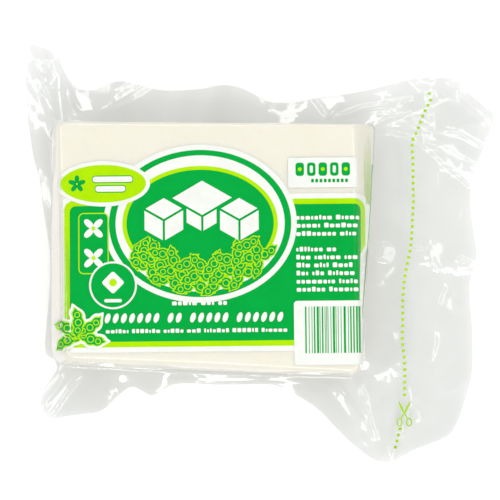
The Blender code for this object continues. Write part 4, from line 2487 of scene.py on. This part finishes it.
@dataclass(frozen=True)
class Softbox:
    """A flat lamp that faces the object."""

    name: str
    azimuth: float
    elevation: float
    distance: float
    width: float
    height: float
    radiance: float

    def build(self, target: Vector) -> None:
        """Hang the lamp and aim it.

        Args:
            target: The point that it faces.
        """
        lamp = bpy.data.lights.new(self.name, "AREA")
        lamp.shape = "RECTANGLE"
        lamp.size = self.width
        lamp.size_y = self.height
        lamp.energy = self.radiance * math.pi * self.width * self.height
        box = bpy.data.objects.new(self.name, lamp)
        turn, lift = math.radians(self.azimuth), math.radians(self.elevation)
        level = math.cos(lift)
        away = Vector((level * math.cos(turn), level * math.sin(turn), math.sin(lift)))
        box.location = target + away * self.distance
        box.rotation_euler = away.to_track_quat("Z", "Y").to_euler()
        bpy.context.scene.collection.objects.link(box)


@dataclass
class Studio:
    """Pale floor, soft lamps, pale surroundings and the camera."""

    elevation: float = 86.0
    distance: float = 0.7
    lens: float = 133.0
    sensor: float = 36.0
    clip_start: float = 0.01
    target: Vector = field(default_factory=lambda: Vector((0.0167, -0.0011, 0.0)))
    floor_size: float = 6.0
    softboxes: tuple[Softbox, ...] = (
        Softbox("lamp_left", 180.0, 55.0, 1.0, 0.8, 0.12, 3.4),
        Softbox("lamp_right", 0.0, 55.0, 1.0, 0.8, 0.19, 3.3),
        Softbox("lamp_back", 90.0, 55.0, 1.0, 0.8, 0.12, 4.0),
        Softbox("lamp_front", 270.0, 55.0, 1.0, 0.8, 0.12, 7.2),
    )
    # the surroundings' brightness at heights in degrees, and behind the object
    sky: tuple[tuple[float, float], ...] = (
        (0.0, 0.46), (35.0, 0.87), (65.0, 0.92), (75.0, 0.57), (90.0, 0.36),
    )
    backdrop: float = 0.95

    def build(self) -> None:
        """Set up everything round the object."""
        self.build_floor()
        for box in self.softboxes:
            box.build(self.target)
        self.build_world()
        self.build_camera()

    def build_floor(self) -> None:
        """Lay the floor."""
        deselect_all()
        bpy.ops.mesh.primitive_plane_add(size=self.floor_size, location=(0.0, 0.0, 0.0))
        floor = bpy.context.object
        floor.name = floor.data.name = "floor"
        floor.data.materials.append(FloorFinish().material())

    def build_world(self) -> None:
        """Light everything from all round, most from well above, and not from straight above."""
        world = bpy.data.worlds.new("surround")
        world.use_nodes = True
        board = Board(world.node_tree)
        ray = board.put("ShaderNodeLightPath")
        place = board.put("ShaderNodeTexCoord")
        split = board.put("ShaderNodeSeparateXYZ")
        glow = board.put("ShaderNodeValToRGB")
        ramp = glow.color_ramp
        for _ in range(len(self.sky) - len(ramp.elements)):
            ramp.elements.new(0.5)
        for stop, (lift, strength) in zip(ramp.elements, self.sky):
            stop.position = math.sin(math.radians(lift))
            stop.color = (strength, strength, strength, 1.0)
        seen = board.put(
            "ShaderNodeBackground", {"Color": (1.0, 1.0, 1.0, 1.0), "Strength": self.backdrop}
        )
        lit = board.put("ShaderNodeBackground", {"Strength": 1.0})
        mix = board.put("ShaderNodeMixShader")
        out = board.put("ShaderNodeOutputWorld")
        board.wire(
            (place, "Generated", split, "Vector"), (split, "Z", glow, "Fac"),
            (glow, "Color", lit, "Color"), (ray, "Is Camera Ray", mix, 0),
            (lit, "Background", mix, 1), (seen, "Background", mix, 2),
            (mix, "Shader", out, "Surface"),
        )
        bpy.context.scene.world = world

    def build_camera(self) -> None:
        """Place the camera almost straight above the label."""
        data = bpy.data.cameras.new("camera")
        data.lens = self.lens
        data.sensor_width = self.sensor
        data.clip_start = self.clip_start
        camera = bpy.data.objects.new("camera", data)
        lift = math.radians(self.elevation)
        away = Vector((0.0, -math.cos(lift), math.sin(lift)))
        camera.location = self.target + away * self.distance
        camera.rotation_euler = away.to_track_quat("Z", "Y").to_euler()
        scene = bpy.context.scene
        scene.collection.objects.link(camera)
        scene.camera = camera
        scene.view_settings.view_transform = "Standard"
        scene.view_settings.look = "None"


def attach(piece: Piece) -> None:
    """Make a piece ride with the pack, and report it.

    Args:
        piece: The piece.
    """
    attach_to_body(piece, BODY)
    LOG.info("%s: %d faces", piece.name, len(piece.data.polygons))


def main() -> None:
    """Build the pack and the studio round it."""
    logging.basicConfig(level=logging.INFO, format="%(message)s")
    groups = SharedGroups()
    form = BlockForm()
    pouch = FilmPouch(form)
    film = pouch.build()
    pouch.dress(film, groups)
    attach(film)
    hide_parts(POUCH_NODE)
    tofu = TofuBlock(form)
    block = tofu.build()
    tofu.dress(block, groups)
    attach(block)
    inks = {ink: InkFinish(ink).material(groups) for ink in Ink}
    for piece, ink in Label(PrintPress(film)).build():
        piece.data.materials.append(inks[ink])
        attach(piece)
    Studio().build()


if __name__ == "__main__":
    main()
